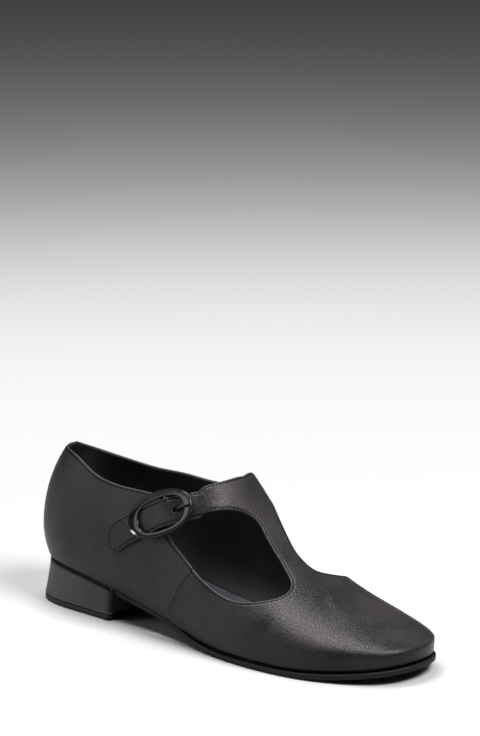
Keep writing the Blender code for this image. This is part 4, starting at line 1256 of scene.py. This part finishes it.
leather = leatherMaterial()
lining = softMaterial("black_lining", looks["lining"], 0.50, 1400.0, 0.00012, level=0.35)
footbed = softMaterial("footbed_leather", looks["footbed"], 0.38, 1200.0, 0.00010, level=0.45)
soleRubber = softMaterial("sole_rubber", looks["rubber"], 0.55, 900.0, 0.00012, level=0.2)
heelCover = softMaterial("heel_cover", looks["heelCover"], 0.46, 1100.0, 0.00015, level=0.35)
liftRubber = softMaterial("lift_rubber", looks["rubber"], 0.62, 1000.0, 0.00018, level=0.35)
blackEnamel = softMaterial(
    "black_enamel", looks["enamel"], 0.18, 300.0, 0.00002, coat=0.12, coatRoughness=0.10, level=0.3
)
threadMaterial = softMaterial("black_thread", looks["threadDark"], 0.7, 3000.0, 0.00015, level=0.05)


def threadRoutes():  # where the stitch rows run, as lists of points with their normals
    feather, opening, cutOut, stops = upperEdges()
    rows = []
    inset = upper["stitchInset"]
    around = np.r_[opening[stops[3] :], opening[: stops[2]]]
    rows.append(besideEdge(around, -inset, closed=False))
    ring = besideEdge(cutOut, inset)
    rows.append(np.r_[ring, ring[:1]])
    for top, side in upper["seamTops"]:
        down = np.linspace(top + 0.03, 0.965, 40)
        spoke = seamSpoke(down) + upper["seamStitch"] / seamScale
        rows.append(np.c_[spoke if side < 0 else spokeCount - spoke, down])
    routes = []
    for row in rows:
        places = fold(row)
        sink = seamRise(*places.T) - upper["stitchGroove"] + upper["threadLift"]
        routes.append(skin(*places.T) + skinNormal(*places.T) * sink[:, None])
    outline, hole, inside, shared = tailPlaces()
    line = outline[shared - 1 :]
    tangent = unit(np.gradient(line, axis=0))
    row = line + np.c_[-tangent[:, 1], tangent[:, 0]] * inset
    row = row[row[:, 0] < strap["reach"] - 0.5]
    routes.append(tailPoints(row) - tailNormals(row) * (upper["stitchGroove"] - upper["threadLift"]))
    return routes


stitch = {
    "Pitch": 0.0021,
    "Thread Length": 0.0014,
    "Thread Radius": 0.00034,
}


def stitchTree():  # short threads laid along curves
    tree = bpy.data.node_groups.new("stitches", "GeometryNodeTree")
    face = tree.interface
    face.new_socket("Geometry", in_out="INPUT", socket_type="NodeSocketGeometry")
    for label, value in stitch.items():
        face.new_socket(label, in_out="INPUT", socket_type="NodeSocketFloat").default_value = value
    face.new_socket("Material", in_out="INPUT", socket_type="NodeSocketMaterial")
    face.new_socket("Geometry", in_out="OUTPUT", socket_type="NodeSocketGeometry")
    entry = tree.nodes.new("NodeGroupInput").outputs

    def add(kind, output, inputs, **settings):
        node = tree.nodes.new(kind)
        for key, value in settings.items():
            setattr(node, key, value)
        for key, value in inputs.items():
            if isinstance(value, bpy.types.NodeSocket):
                tree.links.new(value, node.inputs[key])
            else:
                node.inputs[key].default_value = value
        return node.outputs[output]

    evenly = {"Curve": entry["Geometry"], "Length": entry["Pitch"]}
    spaced = add("GeometryNodeResampleCurve", "Curve", evenly, mode="LENGTH")
    points = tree.nodes.new("GeometryNodeCurveToPoints")
    points.mode = "EVALUATED"
    tree.links.new(spaced, points.inputs["Curve"])
    ball = add("GeometryNodeMeshUVSphere", "Mesh", {"Segments": 8, "Rings": 7, "Radius": 1.0})
    half = add("ShaderNodeMath", 0, {0: entry["Thread Length"], 1: 0.5}, operation="MULTIPLY")
    radius = entry["Thread Radius"]
    size = add("ShaderNodeCombineXYZ", "Vector", {"X": radius, "Y": radius, "Z": half})
    thread = add("GeometryNodeTransform", "Geometry", {"Geometry": ball, "Scale": size})
    places = {"Points": points.outputs["Points"], "Rotation": points.outputs["Rotation"], "Instance": thread}
    laid = add("GeometryNodeInstanceOnPoints", "Instances", places)
    real = add("GeometryNodeRealizeInstances", "Geometry", {"Geometry": laid})
    paint = {"Geometry": real, "Material": entry["Material"]}
    painted = add("GeometryNodeSetMaterial", "Geometry", paint)
    tree.links.new(painted, tree.nodes.new("NodeGroupOutput").inputs["Geometry"])
    return tree


def makeStitches():
    curve = bpy.data.curves.new("thread_routes", "CURVE")
    curve.dimensions = "3D"
    for route in threadRoutes():
        spline = curve.splines.new("POLY")
        spline.points.add(len(route) - 1)
        for point, place in zip(spline.points, placed(route)):
            point.co = (*place, 1)
    carrier = addObject("thread_routes", curve)
    tree = stitchTree()
    modifier = carrier.modifiers.new("stitches", "NODES")
    modifier.node_group = tree
    settings = {**stitch, "Material": threadMaterial}
    for item in tree.interface.items_tree:
        if item.in_out == "INPUT" and item.name in settings:
            modifier[item.identifier] = settings[item.name]
    bpy.context.view_layer.update()
    graph = bpy.context.evaluated_depsgraph_get()
    mesh = bpy.data.meshes.new_from_object(carrier.evaluated_get(graph), depsgraph=graph)
    bpy.data.objects.remove(carrier)
    return addObject("fine_stitches", mesh)


fineUpper = makeUpper([leather, lining])
fineInsole = makeInsole([footbed])
fineSole = makeSole([soleRubber])
fineHeel, fineLift = makeHeel([heelCover, liftRubber])
fineBuckle, fineProng = makeBuckle([blackEnamel])
stitches = makeStitches()
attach(stitches, "root")
print("stitches", len(stitches.data.polygons))

for piece, node, slot in (
    (fineUpper, "upper", "upper_leather"),
    (fineInsole, "insole", "lining"),
    (fineSole, "outsole", "sole_rubber"),
    (fineHeel, "heel_block", "heel_cover"),
    (fineLift, "top_lift", "lift_rubber"),
    (fineBuckle, "buckle_frame", "buckle_metal"),
    (fineProng, "buckle_prong", "buckle_metal"),
):
    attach(piece, "root")
    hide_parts(node)
    print(node, len(piece.data.polygons))


studio = {
    "floorSize": 6,
    "floorPaintedLight": (0.15, 1.2, 0.36, 0.62),  # from and to how far off, and the tone there as seen: painted shade near the shoe and painted light further off, making up for the lamps' fall-off
    "floorBounce": 0.32,  # its tone for light that it throws back
    "air": 0.04,  # light from all round; the camera sees 1.0
}
lights = {
    # place, what it is aimed at, width and height, watts, colour
    "overhead": ((-0.27, -0.02, 1.15), (0, 0, 0.03), (0.8, 0.45), 24, (1, 1, 1)),
    "back_panel": ((0.3, 1.2, 0.8), (0, 0, 0.04), (1.4, 0.5), 3, (1, 1, 1)),
    "left_panel": ((-1.1, -0.9, 0.35), (0, 0, 0.04), (0.9, 0.9), 7, (0.95, 0.98, 1.0)),
    "right_panel": ((0.72, -0.05, 1.0), (0, 0, 0.06), (0.45, 0.5), 26, (1, 1, 1)),
}


def makeFloor():
    mesh = bpy.data.meshes.new("floor")
    size = studio["floorSize"]
    corners = [(-size, -size, 0), (size, -size, 0), (size, size, 0), (-size, size, 0)]
    mesh.from_pydata(corners, [], [(0, 1, 2, 3)])
    floor = addObject("floor", mesh)
    material, shader, w = newMaterial("pale_floor", 0.9, level=0.1)
    seen = w.add("ShaderNodeLightPath", {}, output="Is Camera Ray")
    away = w.add("ShaderNodeVectorMath", {0: w.place()}, operation="LENGTH", output="Value")
    # painted light: the floor as seen gets paler away from the shoe, so it stays white far off and darker
    # round the shoe
    pale = w.spread(away, *studio["floorPaintedLight"])
    tone = w.add("ShaderNodeCombineXYZ", {0: pale, 1: pale, 2: pale})
    w.feed(shader.inputs["Base Color"], w.mix(seen, (studio["floorBounce"],) * 3, tone))
    mesh.materials.append(material)


makeFloor()


def areaLight(name, place, target, size, power, colour):
    light = bpy.data.lights.new(name, "AREA")
    light.shape = "RECTANGLE"
    light.size, light.size_y = size
    light.energy = power
    light.color = colour
    item = addObject(name, light)
    item.location = place
    item.rotation_euler = (Vector(target) - Vector(place)).to_track_quat("-Z", "Y").to_euler()


for name, values in lights.items():
    areaLight(name, *values)

world = bpy.data.worlds.new("studio")
world.use_nodes = True
backdrop = world.node_tree.nodes["Background"]
air = Wiring(world.node_tree)
seen = air.add("ShaderNodeLightPath", {}, output="Is Camera Ray")
air.feed(backdrop.inputs["Color"], (1.0, 1.0, 1.0, 1.0))
air.feed(backdrop.inputs["Strength"], air.spread(seen, 0.0, 1.0, studio["air"], 1.0))
bpy.context.scene.world = world
bpy.context.scene.view_settings.view_transform = "Standard"

photo = {
    "width": 480,
    "height": 736,
    "azimuth": 40.0,
    "elevation": 16.5,
    "roll": -0.4,
    "distance": 1650.0,
    "focus": 3093.75,  # in pixels
    "sensor": 36,
    "target": (125.0, 0.0, 30.0),
    "targetAt": (234.3, 579.3),  # where it lies in the picture
}


def makeCamera():
    azimuth, elevation, roll = [math.radians(photo[key]) for key in ("azimuth", "elevation", "roll")]
    level = math.cos(elevation)
    back = np.array([math.sin(azimuth) * level, -math.cos(azimuth) * level, math.sin(elevation)])
    right = np.array([math.cos(azimuth), math.sin(azimuth), 0])
    up = np.cross(back, right)
    place = placed(np.array(photo["target"]) + back * photo["distance"])

    def ray(px, py):
        x, y = px - photo["targetAt"][0], photo["targetAt"][1] - py
        cos, sin = math.cos(roll), math.sin(roll)
        # the picture is turned by the roll
        x, y = cos * x + sin * y, -sin * x + cos * y
        return unit(right * x / photo["focus"] + up * y / photo["focus"] - back)

    middle = (photo["width"] / 2, photo["height"] / 2)
    forward = ray(*middle)
    sideways = ray(middle[0] + 1, middle[1]) - forward
    sideways = unit(sideways - forward * (sideways @ forward))
    above = np.cross(sideways, forward)
    camera = bpy.data.cameras.new("photo_camera")
    camera.sensor_fit = "VERTICAL"
    camera.sensor_height = photo["sensor"]
    # the turn to the picture's middle changes the scale a little
    camera.lens = photo["sensor"] * photo["focus"] / photo["height"] * (forward @ -back) ** 1.5
    item = addObject("photo_camera", camera)
    item.matrix_world = Matrix.Translation(place) @ Matrix((sideways, above, -forward)).transposed().to_4x4()
    bpy.context.scene.camera = item


makeCamera()
